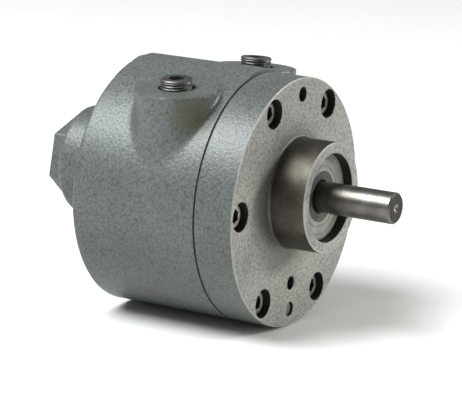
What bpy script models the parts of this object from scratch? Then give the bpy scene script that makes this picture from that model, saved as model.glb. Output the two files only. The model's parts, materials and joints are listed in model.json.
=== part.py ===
"""Rotary vane air motor: a round casting with two ports, an offset rotor with four vanes, and a shaft.

Frame: metres. The origin is on the shaft's axis, in the plane of the drive face. +X runs out along the
shaft and +Z points up, between the ports. The casting's own axis is ECCENTRICITY below the shaft's axis.
"""

import math

import bmesh
import bpy
from mathutils import Matrix, Vector

# Casting and drive end plate
BODY_RADIUS = 0.0635
ECCENTRICITY = 0.0052
PLATE_THICKNESS = 0.0211
PLATE_CHAMFER = 0.0006
JOINT_GAP = 0.0010
BODY_FRONT = -PLATE_THICKNESS - JOINT_GAP
BODY_BACK = -0.0928
BORE_RADIUS = 0.046
BORE_FLOOR = -0.076
REAR_BOSS_RADIUS = 0.0286
REAR_BOSS_BACK = -0.1264
REAR_BOSS_ROUND = 0.003
RIB_TOP = 1.025 * BODY_RADIUS - ECCENTRICITY
RIB_BOTTOM = 0.0535
RIB_HALF_WIDTH = 0.0075
RIB_FOOT_HALF_WIDTH = 0.0222
RIB_INSET = 0.0004
GASKET_INSET = 0.0006

# Hub and its recess
HUB_RADIUS = 0.0281
HUB_FACE = 0.020
HUB_CHAMFER = 0.0005
RECESS_RADIUS = 0.0226
RECESS_FLOOR = 0.0077
RING_GROOVE_RADIUS = 0.0213
RING_GROOVE_BACK = 0.0043
RING_GROOVE_FRONT = 0.0064

# Screws and pins on one circle about the casting's axis, turned a little from the ports' middle plane
BOLT_CIRCLE = 0.0550
PATTERN_TURN = math.radians(3.0)
SCREW_COUNT = 6
SCREW_FIRST_ANGLE = math.radians(30.0)
SCREW_RADIUS = 0.00397
SCREW_HEAD_RADIUS = 0.0059
SCREW_HEAD_HEIGHT = 0.0079
SCREW_LENGTH = 0.0254
SCREW_KEY_RADIUS = 0.00367
SCREW_KEY_DEPTH = 0.004
SCREW_EDGE = 0.0005
SCREW_POINT = 0.0008
HEAD_DEPTH = 0.0032
COUNTERBORE_RADIUS = 0.0072
SCREW_HOLE_RADIUS = 0.0043
SCREW_HOLE_END = -0.0375
PIN_RADIUS = 0.0034
PIN_LENGTH = 0.029
PIN_EDGE = 0.0004
PIN_HOLE_RADIUS = 0.0037
PIN_HOLE_END = -0.0345
TOP_PIN_DEPTH = 0.0035
BOTTOM_PIN_DEPTH = 0.0012
TAPPED_HOLE_RADIUS = 0.0035
TAPPED_HOLE_DEPTH = 0.012
TAPPED_HOLE_CIRCLE = 0.0415

# Ports
PORT_X = -0.0484
PORT_Y = 0.0387
PORT_FACE_Z = 0.0533
PORT_TILT = math.radians(4.5)
PORT_BOSS_RADIUS = 0.0213
PORT_BOSS_HEIGHT = 0.048
PORT_THREAD_RADIUS = 0.0085
PORT_MOUTH_RADIUS = 0.0092
PORT_MOUTH_DEPTH = 0.001
PORT_THREAD_DEPTH = 0.017
PORT_PASSAGE_RADIUS = 0.0065
PORT_PASSAGE_DEPTH = 0.042
PORT_DRILL_POINT = 0.002
PLUG_RADIUS = 0.0081
PLUG_PROUD = 0.0049
PLUG_CHAMFER = 0.0006
PLUG_DEPTH = 0.0115
PLUG_KEY_RADIUS = 0.0046
PLUG_KEY_DEPTH = 0.006

# Shaft, rotor and vanes
SHAFT_END = 0.0562
OUTPUT_RADIUS = 0.00794
OUTPUT_CHAMFER = 0.0008
OUTPUT_BACK = 0.0065
SEAT_RADIUS = 0.0085
SHOULDER_RADIUS = 0.012
SHAFT_CLEARANCE_RADIUS = 0.0131
SHAFT_BACK = -0.1175
SHAFT_EDGE = 0.0005
SHAFT_GROOVE_MARGIN = 0.0004
SHAFT_GROOVE_WIDTH = 0.0018
SHAFT_GROOVE_DEPTH = 0.0009
ROTOR_RADIUS = 0.0404
ROTOR_FRONT = -0.0215
ROTOR_BACK = -0.0756
ROTOR_BORE_RADIUS = 0.0123
SLOT_WIDTH = 0.0046
SLOT_FLOOR = 0.019
VANE_COUNT = 4
VANE_FIRST_ANGLE = math.radians(45.0)
VANE_THICKNESS = 0.0040
VANE_INNER = 0.0193
VANE_OUTER = 0.0377
VANE_END_GAP = 0.0002
VANE_BEVEL = 0.0008
KEY_WIDTH = 0.005
KEY_BOTTOM = 0.0093
KEY_TOP = 0.0143
KEY_FRONT = -0.030
KEY_BACK = -0.070
KEY_BEVEL = 0.0004

# Bearings. A race's land is LAND_REACH ball radii away from the circle of ball centres
FRONT_SEAT_RADIUS = 0.0203
FRONT_BEARING_BACK = -0.0080
FRONT_BEARING_WIDTH = 0.0120
FRONT_OUTER_RADIUS = 0.0200
FRONT_BALL_RADIUS = 0.0032
REAR_SEAT_RADIUS = 0.0178
REAR_BEARING_BACK = -0.1140
REAR_BEARING_WIDTH = 0.0100
REAR_OUTER_RADIUS = 0.0175
REAR_BALL_RADIUS = 0.0024
BALL_COUNT = 8
LAND_REACH = 0.55
CAGE_OVERHANG = 0.0011
CAGE_HALF_THICKNESS = 0.0006

# Rings that hold the bearings
PLATE_RING_INNER = 0.0182
PLATE_RING_GAP = math.radians(14.0)
SHAFT_RING_OUTER = 0.0106
SHAFT_RING_INNER = 0.0079
SHAFT_RING_WIDTH = 0.0012
SHAFT_RING_GAP = math.radians(20.0)

# Shaft seal
SEAL_FRONT = HUB_FACE - 0.0050
SEAL_WALL = 0.0030
SEAL_RIM = 0.0027
SEAL_WEB_DEPTH = 0.0008
SEAL_WEB_THICKNESS = 0.0014
SEAL_WEB_INNER = 0.0128
LIP_OUTER = 0.0125
LIP_TAIL_OUTER = 0.0108
LIP_TAIL_INNER = 0.0100
LIP_LENGTH = 0.0050
LIP_CLEARANCE = 0.0004
LIP_FLARE = 0.0012
LIP_EDGE_DEPTH = 0.0042
LIP_FLARE_DEPTH = 0.0020
GARTER_RADIUS = 0.0124
GARTER_WIRE_RADIUS = 0.0005
GARTER_DEPTH = 0.0044
GARTER_WIRE_SIDES = 8

# Rear cap, its washer and the preload spring
CAP_HEX_RADIUS = 0.0223
CAP_HEX_ANGLE = math.radians(48.0)
CAP_BACK = -0.1365
CAP_HEX_FRONT = -0.1291
CAP_COLLAR_RADIUS = 0.0205
CAP_COLLAR_FRONT = -0.1278
CAP_NOSE_RADIUS = 0.0174
CAP_NOSE_BORE = 0.0130
CAP_NOSE_FRONT = -0.1172
CAP_FLOOR = -0.1262
CAP_EDGE = 0.0012
CAP_OVERLAP = 0.001
SPRING_CENTRE = -0.1157
SPRING_WAVE = 0.0006
SPRING_THICKNESS = 0.0005
SPRING_OUTER = 0.0170
SPRING_INNER = 0.0136
SPRING_WAVES = 3

# Smallest gaps between touching pieces, how far a cutter runs past the face that it opens, how deep
# an added shape is sunk, and the number of sides on round shapes
GAP = 0.0003
RACE_GAP = 0.0004
PAST = 0.002
SUNK = 0.004
LARGE_SIDES = 48
MEDIUM_SIDES = 32
BEARING_SIDES = 24
SMALL_SIDES = 16
POCKET_SIDES = 10
WELD = 0.00001

# The castings' many crossing cuts only stay closed with this solver
CASTING_SOLVER = "MANIFOLD"

AIM_ALONG_X = Matrix.Rotation(math.radians(90.0), 4, "Y")


def clear_scene():
    for obj in list(bpy.data.objects):
        bpy.data.objects.remove(obj, do_unlink=True)


def new_collection(name):
    collection = bpy.data.collections.new(name)
    bpy.context.scene.collection.children.link(collection)
    return collection


def new_material(name, colour, roughness, metallic):
    """A Principled material, shared by the pieces that ask for the same name. The colour is linear RGB."""
    material = bpy.data.materials.get(name) or bpy.data.materials.new(name)
    material.use_nodes = True
    shader = material.node_tree.nodes["Principled BSDF"]
    shader.inputs["Base Color"].default_value = (*colour, 1.0)
    shader.inputs["Roughness"].default_value = roughness
    shader.inputs["Metallic"].default_value = metallic
    material.diffuse_color = (*colour, 1.0)
    return material


def paint():
    return new_material("hammertone_paint", (0.19, 0.21, 0.20), 0.4, 0.35)


def ground_steel():
    return new_material("ground_steel", (0.30, 0.29, 0.27), 0.3, 1.0)


def dark_steel():
    return new_material("dark_steel", (0.10, 0.10, 0.10), 0.45, 1.0)


def bearing_steel():
    return new_material("bearing_steel", (0.52, 0.52, 0.50), 0.2, 1.0)


def cage_brass():
    return new_material("cage_brass", (0.55, 0.40, 0.18), 0.35, 1.0)


def cast_iron():
    return new_material("cast_iron", (0.16, 0.16, 0.16), 0.5, 1.0)


def vane_composite():
    return new_material("vane_composite", (0.08, 0.06, 0.045), 0.6, 0.0)


def seal_rubber():
    return new_material("seal_rubber", (0.03, 0.03, 0.03), 0.7, 0.0)


def gasket_fibre():
    return new_material("gasket_fibre", (0.05, 0.05, 0.045), 0.85, 0.0)


def plug_zinc():
    return new_material("plug_zinc", (0.33, 0.34, 0.33), 0.4, 0.8)


def mesh_object(name, mesh, collection, matrix=None):
    obj = bpy.data.objects.new(name, mesh)
    collection.objects.link(obj)
    obj.matrix_world = matrix or Matrix()
    return obj


def shade(mesh, smooth_below=math.radians(35.0)):
    mesh.shade_smooth()
    mesh.set_sharp_from_angle(angle=smooth_below)


def turned(name, profile, sides, collection, matrix=None, closed=False):
    """A profile of (radius, height) points turned about local Z. It runs down its outer side."""
    mesh = bpy.data.meshes.new(name)
    points = [(radius, 0.0, height) for radius, height in profile]
    edges = [(i, i + 1) for i in range(len(points) - 1)]
    if closed:
        edges.append((len(points) - 1, 0))
    mesh.from_pydata(points, edges, [])
    obj = mesh_object(name, mesh, collection, matrix)
    screw = obj.modifiers.new("turn", "SCREW")
    screw.axis = "Z"
    screw.steps = sides
    screw.render_steps = sides
    screw.use_merge_vertices = True
    screw.merge_threshold = WELD
    screw.use_smooth_shade = True
    return obj


def along_x(y=0.0, z=0.0, x=0.0):
    """A frame whose local Z runs along world +X, through the given point."""
    return Matrix.Translation((x, y, z)) @ AIM_ALONG_X


def about_shaft():
    return along_x()


def about_body():
    return along_x(z=-ECCENTRICITY)


def disc(radius, top, bottom):
    """The profile of a plain solid cylinder."""
    return [(0.0, top), (radius, top), (radius, bottom), (0.0, bottom)]


def ring(outer, inner, top, bottom):
    """The closed profile of a plain ring."""
    return [(outer, top), (outer, bottom), (inner, bottom), (inner, top)]


def rounded_end(radius, end, rounding, steps=2):
    """Profile points of a rounded lower edge, from the outer side in to the end face."""
    for index in range(steps + 1):
        angle = index * math.pi / (2.0 * steps)
        yield radius - rounding * (1.0 - math.cos(angle)), end + rounding * (1.0 - math.sin(angle))


def box(name, low, high, collection, matrix=None):
    mesh = bpy.data.meshes.new(name)
    bm = bmesh.new()
    bmesh.ops.create_cube(bm, size=1.0)
    size = Vector(high) - Vector(low)
    centre = (Vector(high) + Vector(low)) / 2.0
    bmesh.ops.scale(bm, vec=size, verts=bm.verts)
    bmesh.ops.translate(bm, vec=centre, verts=bm.verts)
    bm.to_mesh(mesh)
    bm.free()
    return mesh_object(name, mesh, collection, matrix)


def prism(name, sides, radius, bottom, top, collection, matrix=None, turn=0.0):
    """A regular prism about local Z, with a corner at the given angle from local X."""
    mesh = bpy.data.meshes.new(name)
    bm = bmesh.new()
    bmesh.ops.create_cone(
        bm, cap_ends=True, segments=sides, radius1=radius, radius2=radius, depth=top - bottom
    )
    bmesh.ops.translate(bm, vec=(0.0, 0.0, (top + bottom) / 2.0), verts=bm.verts)
    bmesh.ops.rotate(bm, matrix=Matrix.Rotation(turn, 3, "Z"), verts=bm.verts)
    bm.to_mesh(mesh)
    bm.free()
    return mesh_object(name, mesh, collection, matrix)


def bevel(obj, width, segments):
    modifier = obj.modifiers.new("edges", "BEVEL")
    modifier.width = width
    modifier.segments = segments
    modifier.limit_method = "ANGLE"
    modifier.angle_limit = math.radians(40.0)
    return modifier


def boolean(obj, other, operation, solver):
    modifier = obj.modifiers.new(other.name, "BOOLEAN")
    modifier.operation = operation
    modifier.solver = solver
    modifier.object = other
    other.hide_render = True
    other.display_type = "WIRE"


def cut(obj, *cutters, solver="EXACT"):
    for cutter in cutters:
        boolean(obj, cutter, "DIFFERENCE", solver)


def unite(obj, *additions, solver="EXACT"):
    for addition in additions:
        boolean(obj, addition, "UNION", solver)


def baked(obj):
    """The object's evaluated mesh in world space. The object itself is removed."""
    depsgraph = bpy.context.evaluated_depsgraph_get()
    evaluated = obj.evaluated_get(depsgraph)
    mesh = bpy.data.meshes.new_from_object(evaluated)
    mesh.transform(obj.matrix_world)
    bpy.data.objects.remove(obj, do_unlink=True)
    return mesh


def copies(name, mesh, matrices, collection):
    """One cutter holding a copy of the mesh for each matrix."""
    bm = bmesh.new()
    for matrix in matrices:
        start = len(bm.verts)
        bm.from_mesh(mesh)
        bm.verts.ensure_lookup_table()
        bmesh.ops.transform(bm, matrix=matrix, verts=bm.verts[start:])
    joined = bpy.data.meshes.new(name)
    bm.to_mesh(joined)
    bm.free()
    return mesh_object(name, joined, collection)


def repeated(name, mesh, matrices, material, collection):
    """A numbered object for each matrix, all sharing one mesh."""
    for number, matrix in enumerate(matrices, start=1):
        finish(mesh_object(f"{name}_{number}", mesh, collection, matrix), material)


def finish(obj, material):
    """Gives the piece its material, and smooth shading on its round sides."""
    for modifier in obj.modifiers:
        if modifier.type == "BOOLEAN":
            modifier.material_mode = "INDEX"
    obj.data.materials.clear()
    obj.data.materials.append(material)
    if obj.data.polygons:
        shade(obj.data)
    return obj


def circle_points(count, first_angle, radius=BOLT_CIRCLE):
    """Points on a circle as (y, z), measured from the top of the hole pattern towards +Y."""
    for index in range(count):
        angle = PATTERN_TURN + first_angle + index * 2.0 * math.pi / count
        yield radius * math.sin(angle), radius * math.cos(angle) - ECCENTRICITY


def port_frame(side):
    """A frame on a port's face, with local Z out along the port's axis."""
    place = Matrix.Translation((PORT_X, side * PORT_Y, PORT_FACE_Z))
    return place @ Matrix.Rotation(-side * PORT_TILT, 4, "X")


def hole_cutters(name, profile, points, collection):
    """One cutter holding a turned shape along X at each point."""
    seed = turned(name + "_seed", profile, SMALL_SIDES, collection)
    mesh = baked(seed)
    matrices = [along_x(y, z) for y, z in points]
    return copies(name, mesh, matrices, collection)


def pin_points():
    return circle_points(2, 0.0)


def screw_points():
    return circle_points(SCREW_COUNT, SCREW_FIRST_ANGLE)


def top_rib(collection):
    """A low flat-topped rib along the casting, with sides that slope down into the barrel."""
    low = (BODY_BACK + RIB_INSET, -RIB_HALF_WIDTH, RIB_BOTTOM)
    high = (BODY_FRONT - RIB_INSET, RIB_HALF_WIDTH, RIB_TOP)
    rib = box("top_rib", low, high, collection)
    for vertex in rib.data.vertices:
        if vertex.co.z < RIB_TOP - GAP:
            vertex.co.y *= RIB_FOOT_HALF_WIDTH / RIB_HALF_WIDTH
    return rib


def body_casting(parts, cutters):
    barrel = disc(BODY_RADIUS, BODY_FRONT, BODY_BACK)
    body = turned("body_casting", barrel, LARGE_SIDES, parts, about_body())
    shape = [(0.0, BODY_BACK + SUNK), (REAR_BOSS_RADIUS, BODY_BACK + SUNK)]
    shape += rounded_end(REAR_BOSS_RADIUS, REAR_BOSS_BACK, REAR_BOSS_ROUND)
    shape.append((0.0, REAR_BOSS_BACK))
    rear_boss = turned("rear_boss", shape, MEDIUM_SIDES, cutters, about_shaft())
    unite(body, rear_boss, solver=CASTING_SOLVER)
    for side, letter in ((-1, "a"), (1, "b")):
        shape = disc(PORT_BOSS_RADIUS, 0.0, -PORT_BOSS_HEIGHT)
        boss = turned("port_boss_" + letter, shape, MEDIUM_SIDES, cutters, port_frame(side))
        unite(body, boss, solver=CASTING_SOLVER)
    unite(body, top_rib(cutters), solver=CASTING_SOLVER)
    shape = disc(BORE_RADIUS, BODY_FRONT + PAST, BORE_FLOOR)
    bore = turned("bore", shape, LARGE_SIDES, cutters, about_body())
    shape = [
        (0.0, BORE_FLOOR + PAST),
        (SHAFT_CLEARANCE_RADIUS, BORE_FLOOR + PAST),
        (SHAFT_CLEARANCE_RADIUS, REAR_BEARING_BACK + REAR_BEARING_WIDTH + GAP),
        (REAR_SEAT_RADIUS, REAR_BEARING_BACK + REAR_BEARING_WIDTH + GAP),
        (REAR_SEAT_RADIUS, REAR_BOSS_BACK - PAST),
        (0.0, REAR_BOSS_BACK - PAST),
    ]
    rear_bore = turned("rear_bore", shape, MEDIUM_SIDES, cutters, about_shaft())
    cut(body, bore, rear_bore, solver=CASTING_SOLVER)
    shape = [
        (0.0, PAST),
        (PORT_MOUTH_RADIUS, PAST),
        (PORT_MOUTH_RADIUS, 0.0),
        (PORT_THREAD_RADIUS, -PORT_MOUTH_DEPTH),
        (PORT_THREAD_RADIUS, -PORT_THREAD_DEPTH),
        (PORT_PASSAGE_RADIUS, -PORT_THREAD_DEPTH - PORT_DRILL_POINT),
        (PORT_PASSAGE_RADIUS, -PORT_PASSAGE_DEPTH),
        (0.0, -PORT_PASSAGE_DEPTH),
    ]
    for side, letter in ((-1, "a"), (1, "b")):
        hole = turned("port_hole_" + letter, shape, SMALL_SIDES, cutters, port_frame(side))
        cut(body, hole, solver=CASTING_SOLVER)
    front = BODY_FRONT + PAST
    shape = disc(SCREW_HOLE_RADIUS, front, SCREW_HOLE_END)
    screws = hole_cutters("body_screw_holes", shape, screw_points(), cutters)
    shape = disc(PIN_HOLE_RADIUS, front, PIN_HOLE_END)
    pins = hole_cutters("body_pin_holes", shape, pin_points(), cutters)
    cut(body, screws, pins, solver=CASTING_SOLVER)
    return finish(body, paint())


def drive_end_plate(parts, cutters):
    back = -PLATE_THICKNESS
    rim = [
        (0.0, 0.0),
        (BODY_RADIUS - PLATE_CHAMFER, 0.0),
        (BODY_RADIUS, -PLATE_CHAMFER),
        (BODY_RADIUS, back),
        (0.0, back),
    ]
    plate = turned("drive_end_plate", rim, LARGE_SIDES, parts, about_body())
    shape = [
        (0.0, HUB_FACE),
        (HUB_RADIUS - HUB_CHAMFER, HUB_FACE),
        (HUB_RADIUS, HUB_FACE - HUB_CHAMFER),
        (HUB_RADIUS, -SUNK),
        (0.0, -SUNK),
    ]
    hub = turned("hub", shape, LARGE_SIDES, cutters, about_shaft())
    unite(plate, hub, solver=CASTING_SOLVER)
    shape = [
        (0.0, HUB_FACE + PAST),
        (RECESS_RADIUS, HUB_FACE + PAST),
        (RECESS_RADIUS, RECESS_FLOOR),
        (FRONT_SEAT_RADIUS, RECESS_FLOOR),
        (FRONT_SEAT_RADIUS, RING_GROOVE_FRONT),
        (RING_GROOVE_RADIUS, RING_GROOVE_FRONT),
        (RING_GROOVE_RADIUS, RING_GROOVE_BACK),
        (FRONT_SEAT_RADIUS, RING_GROOVE_BACK),
        (FRONT_SEAT_RADIUS, FRONT_BEARING_BACK - GAP),
        (SHAFT_CLEARANCE_RADIUS, FRONT_BEARING_BACK - GAP),
        (SHAFT_CLEARANCE_RADIUS, back - PAST),
        (0.0, back - PAST),
    ]
    front_bore = turned("front_bore", shape, MEDIUM_SIDES, cutters, about_shaft())
    cut(plate, front_bore, solver=CASTING_SOLVER)
    floor = -HEAD_DEPTH - SCREW_HEAD_HEIGHT - GAP
    shape = [
        (0.0, PAST),
        (COUNTERBORE_RADIUS, PAST),
        (COUNTERBORE_RADIUS, floor),
        (SCREW_HOLE_RADIUS, floor),
        (SCREW_HOLE_RADIUS, back - PAST),
        (0.0, back - PAST),
    ]
    screws = hole_cutters("plate_screw_holes", shape, screw_points(), cutters)
    shape = disc(PIN_HOLE_RADIUS, PAST, back - PAST)
    pins = hole_cutters("plate_pin_holes", shape, pin_points(), cutters)
    shape = disc(TAPPED_HOLE_RADIUS, PAST, -TAPPED_HOLE_DEPTH)
    spot = circle_points(1, math.pi, TAPPED_HOLE_CIRCLE)
    tapped = hole_cutters("tapped_hole", shape, spot, cutters)
    cut(plate, screws, pins, tapped, solver=CASTING_SOLVER)
    return finish(plate, paint())


def plate_gasket(parts, cutters):
    middle = -PLATE_THICKNESS - JOINT_GAP / 2.0
    half = JOINT_GAP / 2.0 - GAP
    shape = ring(BODY_RADIUS - GASKET_INSET, BORE_RADIUS + GASKET_INSET, middle + half, middle - half)
    gasket = turned("plate_gasket", shape, MEDIUM_SIDES, parts, about_body(), closed=True)
    shape = disc(SCREW_HOLE_RADIUS, middle + PAST, middle - PAST)
    screws = hole_cutters("gasket_screw_holes", shape, screw_points(), cutters)
    shape = disc(PIN_HOLE_RADIUS, middle + PAST, middle - PAST)
    pins = hole_cutters("gasket_pin_holes", shape, pin_points(), cutters)
    cut(gasket, screws, pins, solver=CASTING_SOLVER)
    return finish(gasket, gasket_fibre())


def cover_screws(parts, cutters):
    """Six socket head cap screws, sunk in the plate's counterbores."""
    shank_end = -SCREW_HEAD_HEIGHT - SCREW_LENGTH
    shape = [
        (0.0, 0.0),
        (SCREW_HEAD_RADIUS - SCREW_EDGE, 0.0),
        (SCREW_HEAD_RADIUS, -SCREW_EDGE),
        (SCREW_HEAD_RADIUS, -SCREW_HEAD_HEIGHT),
        (SCREW_RADIUS, -SCREW_HEAD_HEIGHT),
        (SCREW_RADIUS, shank_end + SCREW_POINT),
        (SCREW_RADIUS - SCREW_POINT, shank_end),
        (0.0, shank_end),
    ]
    screw = turned("screw_seed", shape, SMALL_SIDES, cutters)
    socket = prism("screw_socket", 6, SCREW_KEY_RADIUS, -SCREW_KEY_DEPTH, PAST, cutters)
    cut(screw, socket)
    matrices = [along_x(y, z, -HEAD_DEPTH) for y, z in screw_points()]
    repeated("cover_screw", baked(screw), matrices, dark_steel(), parts)


def dowel_pins(parts, cutters):
    """Two plain pins. The top one is driven deeper than the bottom one."""
    shape = [
        (0.0, 0.0),
        (PIN_RADIUS - PIN_EDGE, 0.0),
        (PIN_RADIUS, -PIN_EDGE),
        (PIN_RADIUS, -PIN_LENGTH + PIN_EDGE),
        (PIN_RADIUS - PIN_EDGE, -PIN_LENGTH),
        (0.0, -PIN_LENGTH),
    ]
    mesh = baked(turned("pin_seed", shape, SMALL_SIDES, cutters))
    depths = (TOP_PIN_DEPTH, BOTTOM_PIN_DEPTH)
    matrices = [along_x(y, z, -depth) for (y, z), depth in zip(pin_points(), depths)]
    repeated("dowel_pin", mesh, matrices, dark_steel(), parts)


def port_plug(letter, side, parts, cutters):
    """A threaded plug with a hex socket, standing a little proud of the port's face."""
    shape = [
        (0.0, PLUG_PROUD),
        (PLUG_RADIUS - PLUG_CHAMFER, PLUG_PROUD),
        (PLUG_RADIUS, PLUG_PROUD - PLUG_CHAMFER),
        (PLUG_RADIUS, -PLUG_DEPTH),
        (0.0, -PLUG_DEPTH),
    ]
    frame = port_frame(side)
    plug = turned("port_plug_" + letter, shape, SMALL_SIDES, parts, frame)
    bottom, top = PLUG_PROUD - PLUG_KEY_DEPTH, PLUG_PROUD + PAST
    socket = prism("plug_socket_" + letter, 6, PLUG_KEY_RADIUS, bottom, top, cutters, frame)
    cut(plug, socket)
    return finish(plug, plug_zinc())


def shaft(parts, cutters):
    """The stepped shaft, with a keyway under the rotor and a ring groove behind the rear bearing."""
    groove_front = REAR_BEARING_BACK - SHAFT_GROOVE_MARGIN
    groove_back = groove_front - SHAFT_GROOVE_WIDTH
    groove_radius = SEAT_RADIUS - SHAFT_GROOVE_DEPTH
    front_shoulder = FRONT_BEARING_BACK - GAP
    rear_shoulder = REAR_BEARING_BACK + REAR_BEARING_WIDTH + GAP
    shape = [
        (0.0, SHAFT_END),
        (OUTPUT_RADIUS - OUTPUT_CHAMFER, SHAFT_END),
        (OUTPUT_RADIUS, SHAFT_END - OUTPUT_CHAMFER),
        (OUTPUT_RADIUS, OUTPUT_BACK),
        (SEAT_RADIUS, OUTPUT_BACK - SHAFT_EDGE),
        (SEAT_RADIUS, front_shoulder),
        (SHOULDER_RADIUS, front_shoulder),
        (SHOULDER_RADIUS, rear_shoulder),
        (SEAT_RADIUS, rear_shoulder),
        (SEAT_RADIUS, groove_front),
        (groove_radius, groove_front),
        (groove_radius, groove_back),
        (SEAT_RADIUS, groove_back),
        (SEAT_RADIUS, SHAFT_BACK + SHAFT_EDGE),
        (SEAT_RADIUS - SHAFT_EDGE, SHAFT_BACK),
        (0.0, SHAFT_BACK),
    ]
    obj = turned("shaft", shape, MEDIUM_SIDES, parts, about_shaft())
    half = KEY_WIDTH / 2.0 + GAP
    low = (KEY_BACK - GAP, -half, KEY_BOTTOM - GAP)
    high = (KEY_FRONT + GAP, half, SHOULDER_RADIUS + PAST)
    cut(obj, box("shaft_keyway", low, high, cutters))
    return finish(obj, ground_steel())


def vane_angles():
    for index in range(VANE_COUNT):
        yield VANE_FIRST_ANGLE + index * 2.0 * math.pi / VANE_COUNT


def radial_frame(angle):
    """A frame about the shaft whose local Z points out at the given angle from +Z."""
    return Matrix.Rotation(angle, 4, "X")


def rotor(parts, cutters):
    shape = ring(ROTOR_RADIUS, ROTOR_BORE_RADIUS, ROTOR_FRONT, ROTOR_BACK)
    obj = turned("rotor", shape, LARGE_SIDES, parts, about_shaft(), closed=True)
    for number, angle in enumerate(vane_angles(), start=1):
        low = (ROTOR_BACK - PAST, -SLOT_WIDTH / 2.0, SLOT_FLOOR)
        high = (ROTOR_FRONT + PAST, SLOT_WIDTH / 2.0, ROTOR_RADIUS + PAST)
        cut(obj, box(f"slot_{number}", low, high, cutters, radial_frame(angle)))
    half = KEY_WIDTH / 2.0 + GAP
    low = (ROTOR_BACK - PAST, -half, 0.0)
    high = (ROTOR_FRONT + PAST, half, KEY_TOP + GAP)
    cut(obj, box("rotor_keyway", low, high, cutters))
    return finish(obj, cast_iron())


def rotor_key(parts):
    low = (KEY_BACK, -KEY_WIDTH / 2.0, KEY_BOTTOM)
    high = (KEY_FRONT, KEY_WIDTH / 2.0, KEY_TOP)
    key = box("rotor_key", low, high, parts)
    bevel(key, KEY_BEVEL, 1)
    return finish(key, dark_steel())


def vane(number, angle, parts):
    """A flat vane, retracted in its slot. It slides out along its local Z."""
    low = (ROTOR_BACK + VANE_END_GAP, -VANE_THICKNESS / 2.0, VANE_INNER)
    high = (ROTOR_FRONT - VANE_END_GAP, VANE_THICKNESS / 2.0, VANE_OUTER)
    obj = box(f"vane_{number}", low, high, parts, radial_frame(angle))
    bevel(obj, VANE_BEVEL, 1)
    return finish(obj, vane_composite())


def groove_arc(pitch, radius, land, outward, middle, points=5):
    """The ball groove of a race as (radius, height) points, from its top edge to its bottom edge."""
    reach = math.sqrt(radius**2 - (land - pitch) ** 2)
    half_angle = math.atan2(reach, abs(land - pitch))
    for index in range(points):
        angle = half_angle - index * 2.0 * half_angle / (points - 1)
        yield pitch + outward * radius * math.cos(angle), middle + radius * math.sin(angle)


def bearing(prefix, back, width, bore, outer, ball, parts, cutters):
    """A deep groove ball bearing: two races, a drilled cage and its balls."""
    pitch = (bore + outer) / 2.0
    front = back + width
    middle = (front + back) / 2.0
    groove = ball + RACE_GAP
    frame = about_shaft()
    outer_land = pitch + LAND_REACH * ball
    outer_groove = list(groove_arc(pitch, groove, outer_land, 1.0, middle))
    shape = [(outer, front), (outer, back), (outer_land, back)]
    shape += outer_groove[::-1]
    shape.append((outer_land, front))
    name = prefix + "_bearing_outer_race"
    race = turned(name, shape, BEARING_SIDES, parts, frame, closed=True)
    finish(race, bearing_steel())
    inner_land = pitch - LAND_REACH * ball
    shape = [(inner_land, front)]
    shape += list(groove_arc(pitch, groove, inner_land, -1.0, middle))
    shape += [(inner_land, back), (bore + GAP, back), (bore + GAP, front)]
    name = prefix + "_bearing_inner_race"
    race = turned(name, shape, BEARING_SIDES, parts, frame, closed=True)
    finish(race, bearing_steel())
    spots = [Matrix.Rotation(i * 2.0 * math.pi / BALL_COUNT, 4, "X") for i in range(BALL_COUNT)]
    half_cage = ball + CAGE_OVERHANG
    cage_outer, cage_inner = pitch + CAGE_HALF_THICKNESS, pitch - CAGE_HALF_THICKNESS
    shape = ring(cage_outer, cage_inner, middle + half_cage, middle - half_cage)
    cage = turned(prefix + "_bearing_cage", shape, BEARING_SIDES, parts, frame, closed=True)
    pocket = prism(
        prefix + "_pocket_seed", POCKET_SIDES, ball + GAP, pitch - PAST, pitch + PAST, cutters
    )
    at_middle = Matrix.Translation((middle, 0.0, 0.0))
    matrices = [spot @ at_middle for spot in spots]
    cut(cage, copies(prefix + "_pockets", baked(pocket), matrices, cutters))
    finish(cage, cage_brass())
    mesh = bpy.data.meshes.new(prefix + "_ball")
    bm = bmesh.new()
    bmesh.ops.create_icosphere(bm, subdivisions=2, radius=ball)
    bm.to_mesh(mesh)
    bm.free()
    at_pitch = Matrix.Translation((middle, 0.0, pitch))
    matrices = [spot @ at_pitch for spot in spots]
    repeated(prefix + "_bearing_ball", mesh, matrices, bearing_steel(), parts)


def seal_case(parts):
    """The seal's pressed outer ring, with its web towards the outside."""
    back = RECESS_FLOOR + GAP
    outer = RECESS_RADIUS - GAP
    web_front = SEAL_FRONT - SEAL_WEB_DEPTH
    web_back = web_front - SEAL_WEB_THICKNESS
    shape = [
        (outer, SEAL_FRONT),
        (outer, back),
        (outer - SEAL_WALL, back),
        (outer - SEAL_WALL, web_back),
        (SEAL_WEB_INNER, web_back),
        (SEAL_WEB_INNER, web_front),
        (outer - SEAL_RIM - SEAL_WEB_DEPTH, web_front),
        (outer - SEAL_RIM, SEAL_FRONT),
    ]
    obj = turned("seal_case", shape, MEDIUM_SIDES, parts, about_shaft(), closed=True)
    return finish(obj, plug_zinc())


def seal_lip(parts):
    """The rubber lip around the shaft."""
    root_front = SEAL_FRONT - SEAL_WEB_DEPTH
    tail = SEAL_FRONT - LIP_LENGTH
    shape = [
        (LIP_OUTER, root_front),
        (LIP_OUTER, root_front - SEAL_WEB_THICKNESS),
        (LIP_TAIL_OUTER, tail),
        (LIP_TAIL_INNER, tail),
        (OUTPUT_RADIUS + LIP_CLEARANCE, SEAL_FRONT - LIP_EDGE_DEPTH),
        (OUTPUT_RADIUS + LIP_FLARE, SEAL_FRONT - LIP_FLARE_DEPTH),
        (OUTPUT_RADIUS + LIP_FLARE, root_front),
    ]
    obj = turned("seal_lip", shape, MEDIUM_SIDES, parts, about_shaft(), closed=True)
    return finish(obj, seal_rubber())


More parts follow.
